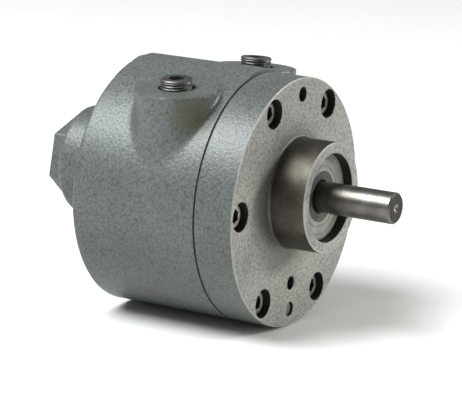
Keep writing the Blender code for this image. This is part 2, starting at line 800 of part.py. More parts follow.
def seal_garter_spring(parts):
    """The round spring that holds the lip in. Its coils are too fine to matter, so it is a plain ring."""
    shape = []
    for index in range(GARTER_WIRE_SIDES):
        angle = -index * 2.0 * math.pi / GARTER_WIRE_SIDES
        radius = GARTER_RADIUS + GARTER_WIRE_RADIUS * math.cos(angle)
        shape.append((radius, SEAL_FRONT - GARTER_DEPTH + GARTER_WIRE_RADIUS * math.sin(angle)))
    obj = turned("seal_garter_spring", shape, BEARING_SIDES, parts, about_shaft(), closed=True)
    return finish(obj, bearing_steel())


def split_ring(name, outer, inner, front, back, gap_half_angle, parts, cutters):
    """A circlip: a flat ring with an open gap at its bottom."""
    obj = turned(
        name, ring(outer, inner, front, back), BEARING_SIDES, parts, about_shaft(), closed=True
    )
    half = outer * math.sin(gap_half_angle)
    low = (back - PAST, -half, -outer - PAST)
    high = (front + PAST, half, 0.0)
    cut(obj, box(name + "_gap", low, high, cutters))
    return finish(obj, dark_steel())


def front_bearing_ring(parts, cutters):
    front = RING_GROOVE_FRONT - GAP
    back = RING_GROOVE_BACK + GAP
    return split_ring(
        "front_bearing_ring",
        RING_GROOVE_RADIUS - GAP,
        PLATE_RING_INNER,
        front,
        back,
        PLATE_RING_GAP,
        parts,
        cutters,
    )


def rear_shaft_ring(parts, cutters):
    front = REAR_BEARING_BACK - SHAFT_GROOVE_MARGIN - GAP
    return split_ring(
        "rear_shaft_ring",
        SHAFT_RING_OUTER,
        SHAFT_RING_INNER,
        front,
        front - SHAFT_RING_WIDTH,
        SHAFT_RING_GAP,
        parts,
        cutters,
    )


def preload_spring(parts, cutters):
    """A wave washer between the rear bearing's outer race and the cap's nose."""
    half = SPRING_THICKNESS / 2.0
    shape = ring(SPRING_OUTER, SPRING_INNER, half, -half)
    seed = turned("spring_seed", shape, BEARING_SIDES, cutters, closed=True)
    mesh = baked(seed)
    for vertex in mesh.vertices:
        around = math.atan2(vertex.co.y, vertex.co.x)
        vertex.co.z += SPRING_WAVE * math.sin(SPRING_WAVES * around)
    obj = mesh_object("preload_spring", mesh, parts, along_x(x=SPRING_CENTRE))
    return finish(obj, bearing_steel())


def bearing_cap(parts, cutters):
    """The hex cap that closes the rear boss. Its nose screws into the boss and backs the preload spring."""
    shape = [
        (0.0, CAP_FLOOR),
        (CAP_NOSE_BORE, CAP_FLOOR),
        (CAP_NOSE_BORE, CAP_NOSE_FRONT),
        (CAP_NOSE_RADIUS, CAP_NOSE_FRONT),
        (CAP_NOSE_RADIUS, CAP_COLLAR_FRONT),
        (CAP_COLLAR_RADIUS, CAP_COLLAR_FRONT),
        (CAP_COLLAR_RADIUS, CAP_HEX_FRONT - CAP_OVERLAP),
        (0.0, CAP_HEX_FRONT - CAP_OVERLAP),
    ]
    cap = turned("bearing_cap", shape, MEDIUM_SIDES, parts, about_shaft())
    hexagon = prism(
        "cap_hexagon",
        6,
        CAP_HEX_RADIUS,
        CAP_BACK,
        CAP_HEX_FRONT,
        cutters,
        about_shaft(),
        turn=CAP_HEX_ANGLE,
    )
    bevel(hexagon, CAP_EDGE, 2)
    unite(cap, hexagon)
    return finish(cap, paint())


def cap_gasket(parts):
    outer, inner = CAP_COLLAR_RADIUS - GASKET_INSET, CAP_NOSE_RADIUS + GAP
    shape = ring(outer, inner, REAR_BOSS_BACK - GAP, CAP_COLLAR_FRONT + GAP)
    obj = turned("cap_gasket", shape, BEARING_SIDES, parts, about_shaft(), closed=True)
    return finish(obj, gasket_fibre())


def ball_names(prefix):
    return [f"{prefix}_bearing_ball_{number}" for number in range(1, BALL_COUNT + 1)]


def carry(name, x, pieces, collection):
    """Parents the named pieces, which turn together, to an empty on the shaft's axis."""
    empty = bpy.data.objects.new(name, None)
    collection.objects.link(empty)
    empty.location = (x, 0.0, 0.0)
    bpy.context.view_layer.update()
    for piece in pieces:
        obj = bpy.data.objects[piece]
        obj.parent = empty
        obj.matrix_parent_inverse = empty.matrix_world.inverted()


def moving_pieces(collection):
    """Groups the pieces by the axis that they turn on. Each vane also slides along its own local Z."""
    turning = ["shaft", "rotor", "rotor_key", "rear_shaft_ring"]
    turning += ["front_bearing_inner_race", "rear_bearing_inner_race"]
    turning += [f"vane_{number}" for number in range(1, VANE_COUNT + 1)]
    carry("shaft_axis", 0.0, turning, collection)
    middle = FRONT_BEARING_BACK + FRONT_BEARING_WIDTH / 2.0
    carry("front_cage_axis", middle, ["front_bearing_cage", *ball_names("front")], collection)
    middle = REAR_BEARING_BACK + REAR_BEARING_WIDTH / 2.0
    carry("rear_cage_axis", middle, ["rear_bearing_cage", *ball_names("rear")], collection)


def main():
    clear_scene()
    parts = new_collection("rotary_vane_air_motor")
    cutters = new_collection("cutters")
    body_casting(parts, cutters)
    drive_end_plate(parts, cutters)
    plate_gasket(parts, cutters)
    cover_screws(parts, cutters)
    dowel_pins(parts, cutters)
    port_plug("a", -1, parts, cutters)
    port_plug("b", 1, parts, cutters)
    shaft(parts, cutters)
    rotor(parts, cutters)
    rotor_key(parts)
    for number, angle in enumerate(vane_angles(), start=1):
        vane(number, angle, parts)
    bearing(
        "front",
        FRONT_BEARING_BACK,
        FRONT_BEARING_WIDTH,
        SEAT_RADIUS,
        FRONT_OUTER_RADIUS,
        FRONT_BALL_RADIUS,
        parts,
        cutters,
    )
    bearing(
        "rear",
        REAR_BEARING_BACK,
        REAR_BEARING_WIDTH,
        SEAT_RADIUS,
        REAR_OUTER_RADIUS,
        REAR_BALL_RADIUS,
        parts,
        cutters,
    )
    seal_case(parts)
    seal_lip(parts)
    seal_garter_spring(parts)
    front_bearing_ring(parts, cutters)
    rear_shaft_ring(parts, cutters)
    preload_spring(parts, cutters)
    bearing_cap(parts, cutters)
    cap_gasket(parts)
    moving_pieces(parts)


main()
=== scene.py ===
import json
import math

import bmesh
import bpy
import numpy as np
from mathutils import Matrix, Vector


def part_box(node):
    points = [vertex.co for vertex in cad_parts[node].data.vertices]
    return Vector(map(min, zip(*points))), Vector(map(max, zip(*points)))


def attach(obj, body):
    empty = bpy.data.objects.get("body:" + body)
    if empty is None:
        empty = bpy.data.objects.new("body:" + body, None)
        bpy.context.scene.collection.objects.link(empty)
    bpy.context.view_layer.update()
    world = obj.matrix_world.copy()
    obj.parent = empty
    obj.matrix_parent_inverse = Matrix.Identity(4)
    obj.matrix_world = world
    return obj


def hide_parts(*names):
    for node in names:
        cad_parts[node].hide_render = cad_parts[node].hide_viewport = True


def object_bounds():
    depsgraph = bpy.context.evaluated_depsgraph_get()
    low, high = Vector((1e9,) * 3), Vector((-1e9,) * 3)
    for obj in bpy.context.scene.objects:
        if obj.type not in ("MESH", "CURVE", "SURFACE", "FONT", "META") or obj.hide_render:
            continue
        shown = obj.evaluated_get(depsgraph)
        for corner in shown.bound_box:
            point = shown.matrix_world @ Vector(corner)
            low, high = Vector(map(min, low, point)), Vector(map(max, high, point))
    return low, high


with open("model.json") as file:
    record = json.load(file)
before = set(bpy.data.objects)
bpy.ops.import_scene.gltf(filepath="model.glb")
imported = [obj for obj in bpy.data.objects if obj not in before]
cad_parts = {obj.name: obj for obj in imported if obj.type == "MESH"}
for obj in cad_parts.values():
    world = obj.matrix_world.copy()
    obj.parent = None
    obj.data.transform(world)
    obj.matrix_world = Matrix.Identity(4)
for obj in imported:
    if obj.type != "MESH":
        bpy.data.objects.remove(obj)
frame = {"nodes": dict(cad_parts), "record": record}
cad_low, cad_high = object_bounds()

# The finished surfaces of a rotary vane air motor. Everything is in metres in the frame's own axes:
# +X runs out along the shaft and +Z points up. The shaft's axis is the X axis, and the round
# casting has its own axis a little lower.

MOUNTS = {mount["name"]: mount for mount in frame["record"]["mounts"]}

# Castings
body_low, body_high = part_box("body_casting")
plate_low, plate_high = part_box("drive_end_plate")
BODY_RADIUS = (body_high.y - body_low.y) / 2.0
BODY_AXIS_Z = body_low.z + BODY_RADIUS
BODY_FRONT = body_high.x
BODY_BACK = -0.0928
REAR_BOSS_BACK = body_low.x
REAR_BOSS_RADIUS = 0.0286
RIB_TOP = body_high.z
RIB_HALF_WIDTH = 0.0075
RIB_FOOT_HALF_WIDTH = 0.0222
RIB_FOOT = 0.0535
BORE_RADIUS = 0.046
BORE_FLOOR = -0.076
REAR_SEAT_RADIUS = 0.0178
REAR_SEAT_FLOOR = -0.1037
SHAFT_CLEARANCE_RADIUS = 0.0131
CAST_EDGE = 0.0012
BOSS_EDGE = 0.0009
REAR_BOSS_EDGE = 0.0030
BARREL_FILLET = 0.0035
BOSS_FILLET = 0.0030
RIB_FILLET = 0.0020
RIB_EDGE = 0.0010
RIB_SWELL = 0.0001
VOXEL = 0.0009

# Drive end plate and its hub
PLATE_BACK = plate_low.x
PLATE_CHAMFER = 0.0006
HUB_FACE = plate_high.x
HUB_RADIUS = 0.0281
HUB_CHAMFER = 0.0005
HUB_COVE = 0.0012
RECESS_RADIUS = 0.0226
RECESS_FLOOR = 0.0077
FRONT_SEAT_RADIUS = 0.0203
FRONT_SEAT_FLOOR = -0.0083
COUNTERBORE_RADIUS = 0.0074
COUNTERBORE_FLOOR = -0.0114
SINK_CHAMFER = 0.0002
SCREW_HOLE_RADIUS = 0.0043
SCREW_HOLE_END = -0.0375
PIN_HOLE_RADIUS = 0.0037
PIN_HOLE_END = -0.0345
TAPPED_HOLE_RADIUS = 0.0035
TAPPED_HOLE_DEPTH = 0.012
TAPPED_HOLE_CIRCLE = 0.0415
MOUTH_CHAMFER = 0.0005

# Ports
PORT_TILT = math.asin(MOUNTS["port_face_b"]["axis"][1])
PORT_FACE_Z = MOUNTS["port_face_b"]["pos_m"][2]
PORT_Y = MOUNTS["port_face_b"]["pos_m"][1]
PORT_X = sum(corner.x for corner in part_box("port_plug_b")) / 2.0
PORT_BOSS_RADIUS = 0.0213
PORT_BOSS_HEIGHT = 0.048
PORT_MOUTH_RADIUS = 0.0092
PORT_MOUTH_DEPTH = 0.001
PORT_HOLE_RADIUS = 0.0085
PORT_HOLE_DEPTH = 0.042
PLUG_RADIUS = 0.0081
PLUG_PROUD = 0.0049
PLUG_DEPTH = 0.0115
PLUG_CHAMFER = 0.0007
PLUG_KEY_RADIUS = 0.0046
PLUG_KEY_DEPTH = 0.006
PLUG_KEY_TURN = 0.3
PIPE_THREAD_PITCH = 0.00141
PIPE_THREAD_DEPTH = 0.0008
THREAD_LEVELS = 84
THREAD_RUNOUT = 4.0

# Screws and pins
SCREW_PLACES = [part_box(f"cover_screw_{number}") for number in range(1, 7)]
PIN_PLACES = [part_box(f"dowel_pin_{number}") for number in (1, 2)]
SCREW_RADIUS = 0.0039
SCREW_HEAD_RADIUS = 0.0059
SCREW_HEAD_HEIGHT = 0.0079
SCREW_KEY_RADIUS = 0.00367
SCREW_KEY_DEPTH = 0.004
SCREW_EDGE = 0.0006
SCREW_TIP_CHAMFER = 0.0008
SCREW_KEY_CHAMFER = 0.0002
SCREW_DRILL_POINT = ((0.0, -0.0035), (0.8 * SCREW_KEY_RADIUS, -0.0038), (0.0, -0.0055))
SCREW_TURN = math.radians(17.0)
HEAD_UNDERCUT = 0.0003
KNURL_COUNT = 36
KNURL_DEPTH = 0.00018
KNURL_MARGIN = 0.0005
PIN_EDGE = 0.0005

# Shaft, seal and cap
shaft_low, shaft_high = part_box("shaft")
OUTPUT_RADIUS = 0.00794
SEAT_RADIUS = 0.0085
SHOULDER_RADIUS = 0.012
SHAFT_CHAMFER = 0.0008
SEAT_START = 0.0060
SEAT_TAPER = 0.0005
RING_GROOVE_RADIUS = 0.0076
RING_GROOVE = (-0.1144, -0.1162)
CENTRE_MOUTH_RADIUS = 0.0022
CENTRE_DRILL_RADIUS = 0.0011
CENTRE_CONE_DEPTH = 0.0010
CENTRE_DRILL_DEPTH = 0.0016
KEYWAY_GAP = 0.0003
cap_low, cap_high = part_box("bearing_cap")
CAP_HEX_RADIUS = 0.0223
CAP_HEX_ANGLE = math.radians(48.0)
CAP_HEX_FRONT = -0.1291
CAP_COLLAR_RADIUS = 0.0205
CAP_COLLAR_FRONT = -0.1278
CAP_NOSE_RADIUS = 0.0174
CAP_NOSE_BORE = 0.0130
CAP_FLOOR = -0.1262
CAP_CORNER = 0.0012
CAP_EDGE = 0.0009
COLLAR_EDGE = 0.0003
CAP_OVERLAP = 0.001
GASKET_INSET = 0.0006
GASKET_GAP = 0.0003
seal_low, seal_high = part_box("seal_case")
SEAL_WALL = 0.0030
SEAL_RIM = 0.0027
SEAL_WEB_DEPTH = 0.0008
SEAL_WEB_THICKNESS = 0.0014
SEAL_WEB_INNER = 0.0128
SEAL_EDGE = 0.0006
SEAL_BEAD = ((0.0150, 0.0), (0.0152, 0.0003), (0.0156, 0.0003), (0.0158, 0.0))
LIP_OUTER = 0.0125
LIP_NECK = (0.0108, 0.0100)
LIP_BACK = 0.0050
LIP_MOUTH = ((0.0003, 0.0042), (0.0006, 0.0034), (0.0010, 0.0020), (0.0006, 0.0010))
LIP_FACE_GAP = 0.0012
LIP_FACE = ((0.0105, -0.0002), (0.0108, 0.0))

# Mesh making
FINE_SIDES = 192
ROUND_SIDES = 96
SMALL_SIDES = 48
PAST = 0.002
SUNK = 0.004
WELD = 0.00001
FLOOR_GAP = 0.0005

# How far a face's middle may lie from a surface and still count as part of it
NEAR = 0.0001
CLOSE = 0.0002

ALONG_X = Matrix.Rotation(math.radians(90.0), 4, "Y")
ABOUT_SHAFT = ALONG_X
ABOUT_BODY = Matrix.Translation((0.0, 0.0, BODY_AXIS_Z)) @ ALONG_X


def mesh_object(name, mesh, matrix=None):
    obj = bpy.data.objects.new(name, mesh)
    bpy.context.scene.collection.objects.link(obj)
    obj.matrix_world = matrix or Matrix()
    return obj


def applied(obj):
    """The object with its modifiers applied and its place moved into its mesh."""
    bpy.context.view_layer.update()
    evaluated = obj.evaluated_get(bpy.context.evaluated_depsgraph_get())
    mesh = bpy.data.meshes.new_from_object(evaluated)
    mesh.transform(obj.matrix_world)
    name = obj.name
    bpy.data.objects.remove(obj, do_unlink=True)
    mesh.name = name
    return mesh_object(name, mesh)


def turned(name, profile, sides, matrix=None, closed=False):
    """A (radius, height) profile turned about local Z. It runs down its outer side."""
    mesh = bpy.data.meshes.new(name)
    edges = [(i, i + 1) for i in range(len(profile) - 1)]
    if closed:
        edges.append((len(profile) - 1, 0))
    mesh.from_pydata([(radius, 0.0, height) for radius, height in profile], edges, [])
    obj = mesh_object(name, mesh, matrix)
    screw = obj.modifiers.new("turn", "SCREW")
    screw.axis = "Z"
    screw.steps = sides
    screw.render_steps = sides
    screw.use_merge_vertices = True
    screw.merge_threshold = WELD
    return applied(obj)


def disc(radius, top, bottom):
    return [(0.0, top), (radius, top), (radius, bottom), (0.0, bottom)]


def arc(centre, radius, start, end, steps):
    """Points on a circular arc as (radius, height), with both angles in degrees."""
    for index in range(steps + 1):
        angle = math.radians(start + (end - start) * index / steps)
        yield centre[0] + radius * math.cos(angle), centre[1] + radius * math.sin(angle)


def prism(name, sides, radius, bottom, top, matrix=None, turn=0.0):
    mesh = bpy.data.meshes.new(name)
    bm = bmesh.new()
    bmesh.ops.create_cone(
        bm, cap_ends=True, segments=sides, radius1=radius, radius2=radius, depth=top - bottom
    )
    bmesh.ops.translate(bm, vec=(0.0, 0.0, (top + bottom) / 2.0), verts=bm.verts)
    bmesh.ops.rotate(bm, matrix=Matrix.Rotation(turn, 3, "Z"), verts=bm.verts)
    bm.to_mesh(mesh)
    bm.free()
    return mesh_object(name, mesh, matrix)


def block(name, low, high):
    mesh = bpy.data.meshes.new(name)
    bm = bmesh.new()
    bmesh.ops.create_cube(bm, size=1.0)
    bmesh.ops.scale(bm, vec=high - low, verts=bm.verts)
    bmesh.ops.translate(bm, vec=(high + low) / 2.0, verts=bm.verts)
    bm.to_mesh(mesh)
    bm.free()
    return mesh_object(name, mesh)


def combine(obj, others, operation):
    """Cuts the others away from the object, or adds them to it. The others are used up."""
    for other in others:
        modifier = obj.modifiers.new("boolean", "BOOLEAN")
        modifier.operation = operation
        modifier.solver = "MANIFOLD"
        modifier.object = other
    result = applied(obj)
    for other in others:
        bpy.data.objects.remove(other, do_unlink=True)
    return result


def cut(obj, *others):
    return combine(obj, others, "DIFFERENCE")


def unite(obj, *others):
    return combine(obj, others, "UNION")


def bevelled(obj, width, segments, limit=30.0):
    modifier = obj.modifiers.new("edges", "BEVEL")
    modifier.width = width
    modifier.segments = segments
    modifier.limit_method = "ANGLE"
    modifier.angle_limit = math.radians(limit)
    return applied(obj)


def smooth(obj, below=32.0):
    obj.data.shade_smooth()
    obj.data.set_sharp_from_angle(angle=math.radians(below))
    return obj


def along_x(y, z, x=0.0):
    return Matrix.Translation((x, y, z)) @ ALONG_X


def port_frame(side):
    place = Matrix.Translation((PORT_X, side * PORT_Y, PORT_FACE_Z))
    return place @ Matrix.Rotation(-side * PORT_TILT, 4, "X")


def centre_of(place):
    low, high = place
    return (low.y + high.y) / 2.0, (low.z + high.z) / 2.0


def tapped_hole_centre():
    """The tapped hole lies on the line from the casting's axis to the lower dowel pin."""
    y, z = centre_of(PIN_PLACES[1])
    away = Vector((y, z - BODY_AXIS_Z)).normalized() * TAPPED_HOLE_CIRCLE
    return away.x, away.y + BODY_AXIS_Z


# ---- Materials


def opaque(value):
    """A colour given as three numbers gets its fourth. Anything else stays as it is."""
    return (*value, 1.0) if isinstance(value, tuple) and len(value) == 3 else value


class Nodes:
    """A material's node tree, with short calls to add nodes and link them."""

    def __init__(self, name):
        self.material = bpy.data.materials.new(name)
        self.material.use_nodes = True
        self.tree = self.material.node_tree
        self.shader = self.tree.nodes["Principled BSDF"]
        coordinates = self.tree.nodes.new("ShaderNodeTexCoord")
        self.place = coordinates.outputs["Object"]

    def add(self, kind, links=None, **settings):
        node = self.tree.nodes.new("ShaderNode" + kind)
        for key, value in settings.items():
            setattr(node, key, value)
        for key, value in (links or {}).items():
            self.feed(node.inputs[key], value)
        return node

    def feed(self, socket, value):
        if isinstance(value, bpy.types.NodeSocket):
            self.tree.links.new(value, socket)
        else:
            socket.default_value = value

    def stretch(self, scale):
        """The object's coordinates, scaled along each axis."""
        node = self.add("Mapping", {"Vector": self.place, "Scale": scale})
        return node.outputs["Vector"]

    def noise(self, scale, detail=3.0, roughness=0.5, place=None, distortion=0.0):
        links = {
            "Vector": place or self.place,
            "Scale": scale,
            "Detail": detail,
            "Roughness": roughness,
            "Distortion": distortion,
        }
        return self.add("TexNoise", links).outputs["Fac"]

    def cells(self, scale, feature="F1", place=None, randomness=1.0):
        links = {"Vector": place or self.place, "Scale": scale, "Randomness": randomness}
        return self.add("TexVoronoi", links, feature=feature).outputs["Distance"]

    def ramp(self, value, *stops):
        """A colour ramp from (position, colour) pairs. A colour may be one grey value."""
        node = self.add("ValToRGB", {"Fac": value})
        elements = node.color_ramp.elements
        while len(elements) < len(stops):
            elements.new(1.0)
        for element, (position, colour) in zip(elements, stops):
            element.position = position
            shade = (colour,) * 3 if isinstance(colour, float) else colour
            element.color = (*shade, 1.0)
        return node.outputs["Color"]

    def mix(self, factor, first, second, blend="MIX"):
        node = self.add("Mix", data_type="RGBA", blend_type=blend)
        for index, value in ((0, factor), (6, first), (7, second)):
            self.feed(node.inputs[index], opaque(value))
        return node.outputs[2]

    def math(self, operation, first, second=0.0):
        node = self.add("Math", operation=operation)
        self.feed(node.inputs[0], first)
        self.feed(node.inputs[1], second)
        return node.outputs[0]

    def near(self, place, inner, outer, scale=(1.0, 1.0, 1.0)):
        """1 round a place, fading to 0 past a ragged edge from the inner to the outer distance."""
        apart = self.add("VectorMath", {0: self.stretch(scale), 1: place}, operation="DISTANCE")
        ragged = self.math("MULTIPLY", self.noise(240.0, 4.0, 0.65), outer - inner)
        links = {
            "Value": self.math("ADD", apart.outputs["Value"], ragged),
            "From Min": inner,
            "From Max": 2.0 * outer - inner,
            "To Min": 1.0,
            "To Max": 0.0,
        }
        return self.add("MapRange", links).outputs["Result"]

    def bump(self, height, distance, strength=1.0, normal=None):
        links = {"Height": height, "Distance": distance, "Strength": strength}
        if normal is not None:
            links["Normal"] = normal
        return self.add("Bump", links).outputs["Normal"]

    def finish(self, colour, roughness, metallic, normal=None, **constants):
        links = {"Base Color": colour, "Roughness": roughness, "Metallic": metallic}
        if normal is not None:
            links["Normal"] = normal
        for key, value in links.items():
            self.feed(self.shader.inputs[key], opaque(value))
        for key, value in constants.items():
            self.shader.inputs[key.replace("_", " ")].default_value = value
        return self.material


def hammertone(name, dark, light, warm=0.0, gloss=0.27, patch=None):
    """Grey hammertone enamel: dimpled metallic cells with dark seams, soiled in broad patches.

    The optional mark is painted shade: one brown darkening, given by the place, inner, outer and
    scale of near() and its colour.
    """
    n = Nodes(name)
    warp = n.add("VectorMath", {0: n.noise(420.0, 2.0), 1: (0.0012,) * 3}, operation="MULTIPLY")
    bent = n.add("VectorMath", {0: n.place, 1: warp.outputs[0]}, operation="ADD")
    cells = n.cells(860.0, "SMOOTH_F1", bent.outputs[0])
    grain = n.noise(1900.0, 3.0, 0.6)
    patches = n.noise(28.0, 4.0, 0.6)
    soil = n.noise(9.0, 3.0, 0.55)
    tone = n.math("ADD", n.math("MULTIPLY", cells, 0.75), n.math("MULTIPLY", grain, 0.35))
    middle = tuple((a + b) / 2.0 for a, b in zip(dark, light))
    colour = n.ramp(tone, (0.26, light), (0.50, middle), (0.74, dark))
    shade = n.ramp(patches, (0.35, 0.86), (0.65, 1.0))
    colour = n.mix(1.0, colour, shade, "MULTIPLY")
    tint = n.ramp(soil, (0.40, 0.0), (0.70, 0.10 + warm))
    colour = n.mix(tint, colour, (0.17, 0.15, 0.11))
    # Painted shade: a speckled brown darkening round the mark's place.
    if patch:
        specks = n.ramp(n.noise(1100.0, 3.0, 0.6), (0.40, 0.55), (0.60, 1.0))
        mark = n.near(patch["place"], patch["inner"], patch["outer"], patch["scale"])
        colour = n.mix(n.math("MULTIPLY", mark, specks), colour, patch["colour"])
    roughness = n.math("ADD", n.math("MULTIPLY", grain, 0.24), gloss)
    height = n.math("ADD", n.math("MULTIPLY", cells, -1.0), n.math("MULTIPLY", grain, 0.35))
    return n.finish(colour, roughness, 0.18, n.bump(height, 0.00025, 0.5))


def machined(name, colour, worn, roughness, rings=2600.0, metallic=1.0):
    """Turned steel: fine rings round the X axis, with a thin brown tarnish."""
    n = Nodes(name)
    lathe = n.noise(1.0, 4.0, 0.65, n.stretch((rings, 40.0, 40.0)))
    tarnish = n.noise(90.0, 4.0, 0.6)
    fine = n.noise(1400.0, 3.0)
    base = n.mix(n.ramp(tarnish, (0.38, 0.0), (0.68, 1.0)), colour, worn)
    base = n.mix(n.ramp(lathe, (0.35, 0.0), (0.70, 0.35)), base, tuple(c * 0.55 for c in colour))
    rough = n.math("ADD", n.math("MULTIPLY", lathe, 0.25), roughness)
    height = n.math("ADD", n.math("MULTIPLY", lathe, 0.8), n.math("MULTIPLY", fine, 0.2))
    return n.finish(base, rough, metallic, n.bump(height, 0.00005, 0.5))


def plain_metal(name, colour, patch, roughness, grain=900.0, metallic=1.0, depth=0.00006):
    """Metal with an even fine grain and broad stains."""
    n = Nodes(name)
    fine = n.noise(grain, 4.0, 0.6)
    broad = n.noise(120.0, 4.0, 0.6)
    base = n.mix(n.ramp(broad, (0.38, 0.0), (0.70, 0.8)), colour, patch)
    rough = n.math("ADD", n.math("MULTIPLY", fine, 0.22), roughness)
    return n.finish(base, rough, metallic, n.bump(fine, depth, 0.5))


def rubber(name):
    n = Nodes(name)
    fine = n.noise(1600.0, 4.0, 0.65)
    dust = n.noise(140.0, 3.0)
    dusty = n.ramp(dust, (0.45, 0.0), (0.75, 0.5))
    base = n.mix(dusty, (0.022, 0.022, 0.021), (0.075, 0.072, 0.065))
    rough = n.math("ADD", n.math("MULTIPLY", fine, 0.2), 0.55)
    return n.finish(base, rough, 0.0, n.bump(fine, 0.00008, 0.6))


def fibre(name):
    n = Nodes(name)
    strands = n.noise(1.0, 4.0, 0.7, n.stretch((900.0, 260.0, 900.0)))
    base = n.ramp(strands, (0.35, (0.018, 0.018, 0.016)), (0.70, (0.075, 0.070, 0.058)))
    return n.finish(base, 0.85, 0.0, n.bump(strands, 0.0001, 0.7))


def phenolic(name):
    """Cloth-filled resin with the cloth's weave showing through."""
    n = Nodes(name)
    links = {"Vector": n.place, "Scale": 420.0, "Distortion": 1.5}
    weave = n.add("TexWave", links, bands_direction="X").outputs["Fac"]
    broad = n.noise(60.0, 3.0)
    base = n.mix(broad, (0.075, 0.05, 0.03), (0.12, 0.085, 0.05))
    base = n.mix(n.math("MULTIPLY", weave, 0.35), base, (0.16, 0.12, 0.075))
    return n.finish(base, 0.5, 0.0, n.bump(weave, 0.00004, 0.5))


def floor_finish(name):
    n = Nodes(name)
    fine = n.noise(60.0, 3.0)
    base = n.mix(fine, (0.73, 0.73, 0.72), (0.76, 0.76, 0.75))
    return n.finish(base, 0.9, 0.0)


# Painted shade: a speckled brown darkening on the near port boss's front wall, below its face.
PORT_PAINTED_SHADE = {
    "place": port_frame(-1.0) @ Vector((0.0160, -0.0130, -0.0090)),
    "inner": 0.0065,
    "outer": 0.0110,
    "scale": (1.0, 1.0, 1.0),
    "colour": (0.084, 0.077, 0.042),
}
# Painted shadow: a speckled brown darkening on the drive face round the hub's root, reaching
# further to the left of and below the hub.
HUB_PAINTED_SHADOW = {
    "place": Vector((0.0, -0.0050, -0.0040)),
    "inner": 0.0290,
    "outer": 0.0358,
    "scale": (1.6, 1.0, 1.0),
    "colour": (0.056, 0.051, 0.035),
}
PAINT = hammertone(
    "grey_hammertone", (0.064, 0.076, 0.071), (0.141, 0.159, 0.150), gloss=0.32, patch=PORT_PAINTED_SHADE
)
FACE_PAINT = hammertone(
    "grey_hammertone_face", (0.100, 0.105, 0.093), (0.305, 0.310, 0.290), 0.08, 0.46, HUB_PAINTED_SHADOW
)
WORN_EDGE = plain_metal("worn_edge", (0.34, 0.35, 0.32), (0.22, 0.22, 0.20), 0.40, metallic=0.4)
HUB_STEEL = machined("hub_side", (0.120, 0.113, 0.094), (0.066, 0.059, 0.044), 0.36)
# Painted shade: a near-black material for the walls and floors of bores, holes, counterbores and
# sockets.
BORE_PAINTED_SHADE = plain_metal(
    "bore_walls_painted_shade", (0.022, 0.022, 0.020), (0.012, 0.011, 0.010), 0.55, metallic=0.3
)
SHAFT_STEEL = machined("shaft_steel", (0.20, 0.196, 0.178), (0.11, 0.100, 0.080), 0.24)
SHAFT_END_STEEL = plain_metal(
    "shaft_end_steel", (0.028, 0.027, 0.023), (0.014, 0.013, 0.011), 0.52, grain=700.0
)
SCREW_STEEL = plain_metal("screw_steel", (0.24, 0.24, 0.225), (0.13, 0.12, 0.10), 0.34)
DARK_STEEL = plain_metal("oiled_steel", (0.085, 0.083, 0.078), (0.05, 0.045, 0.038), 0.40)
PIN_STEEL = plain_metal("pin_steel", (0.21, 0.21, 0.19), (0.12, 0.11, 0.09), 0.36)
PLUG_STEEL = plain_metal("plug_steel", (0.16, 0.166, 0.158), (0.085, 0.085, 0.075), 0.38)
SEAL_STEEL = plain_metal(
    "seal_steel", (0.185, 0.195, 0.175), (0.105, 0.105, 0.087), 0.42, metallic=0.5
)
SEAL_RUBBER = rubber("seal_rubber")
GASKET = fibre("gasket_fibre")
BEARING_STEEL = machined(
    "bearing_steel", (0.55, 0.55, 0.53), (0.42, 0.41, 0.38), 0.12, rings=1800.0
)
CAGE_BRASS = plain_metal("cage_brass", (0.56, 0.40, 0.17), (0.38, 0.26, 0.11), 0.28)
ROTOR_IRON = machined("rotor_iron", (0.19, 0.19, 0.185), (0.11, 0.10, 0.09), 0.38, rings=1500.0)
VANE_RESIN = phenolic("vane_resin")


def dress(obj, slot, body, nodes, *materials):
    """Gives a finished piece its materials and its body, and hides the nodes that it stands for.
    The slot is not used.
    """
    if materials:
        obj.data.materials.clear()
    for material in materials:
        obj.data.materials.append(material)
    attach(obj, body)
    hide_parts(*nodes)
    return obj


def paint_faces(obj, index, chosen):
    """Gives the material of that index to the faces that chosen(centre, normal) picks."""
    for face in obj.data.polygons:
        if chosen(face.center, face.normal):
            face.material_index = index


# ---- The cast body, as a smooth blend of simple shapes


def cylinder_distance(points, origin, axis, radius, low, high, edge):
    """Distance outside a cylinder with rounded edges that runs from low to high along its axis."""
    offset = points - np.array(origin)
    along = offset @ np.array(axis)
    across = np.linalg.norm(offset - along[:, None] * np.array(axis), axis=1)
    half = (high - low) / 2.0
    gaps = np.stack([across - radius + edge, abs(along - (high + low) / 2.0) - half + edge])
    return np.linalg.norm(np.maximum(gaps, 0.0), axis=0) + np.minimum(gaps.max(0), 0.0) - edge


def rib_distance(points):
    """Distance outside the flat-topped rib, whose sides slope down into the barrel."""
    x, y, z = points.T
    top = RIB_TOP - RIB_SWELL
    run = RIB_FOOT_HALF_WIDTH - RIB_HALF_WIDTH
    drop = top - RIB_FOOT
    side = ((abs(y) - RIB_HALF_WIDTH) * drop + (z - top) * run) / math.hypot(run, drop)
    over = -blended(top - z, -side, RIB_EDGE)
    over = -blended(-over, x - BODY_BACK - PLATE_CHAMFER, RIB_EDGE)
    return np.maximum(over, RIB_FOOT - z)


def blended(first, second, fillet):
    """The union of two distances, with a fillet of about that size where they meet."""
    near = np.maximum(fillet - abs(first - second), 0.0) / fillet
    return np.minimum(first, second) - near * near * fillet / 4.0


def port_axis(side):
    return port_frame(side).to_3x3() @ Vector((0.0, 0.0, 1.0))


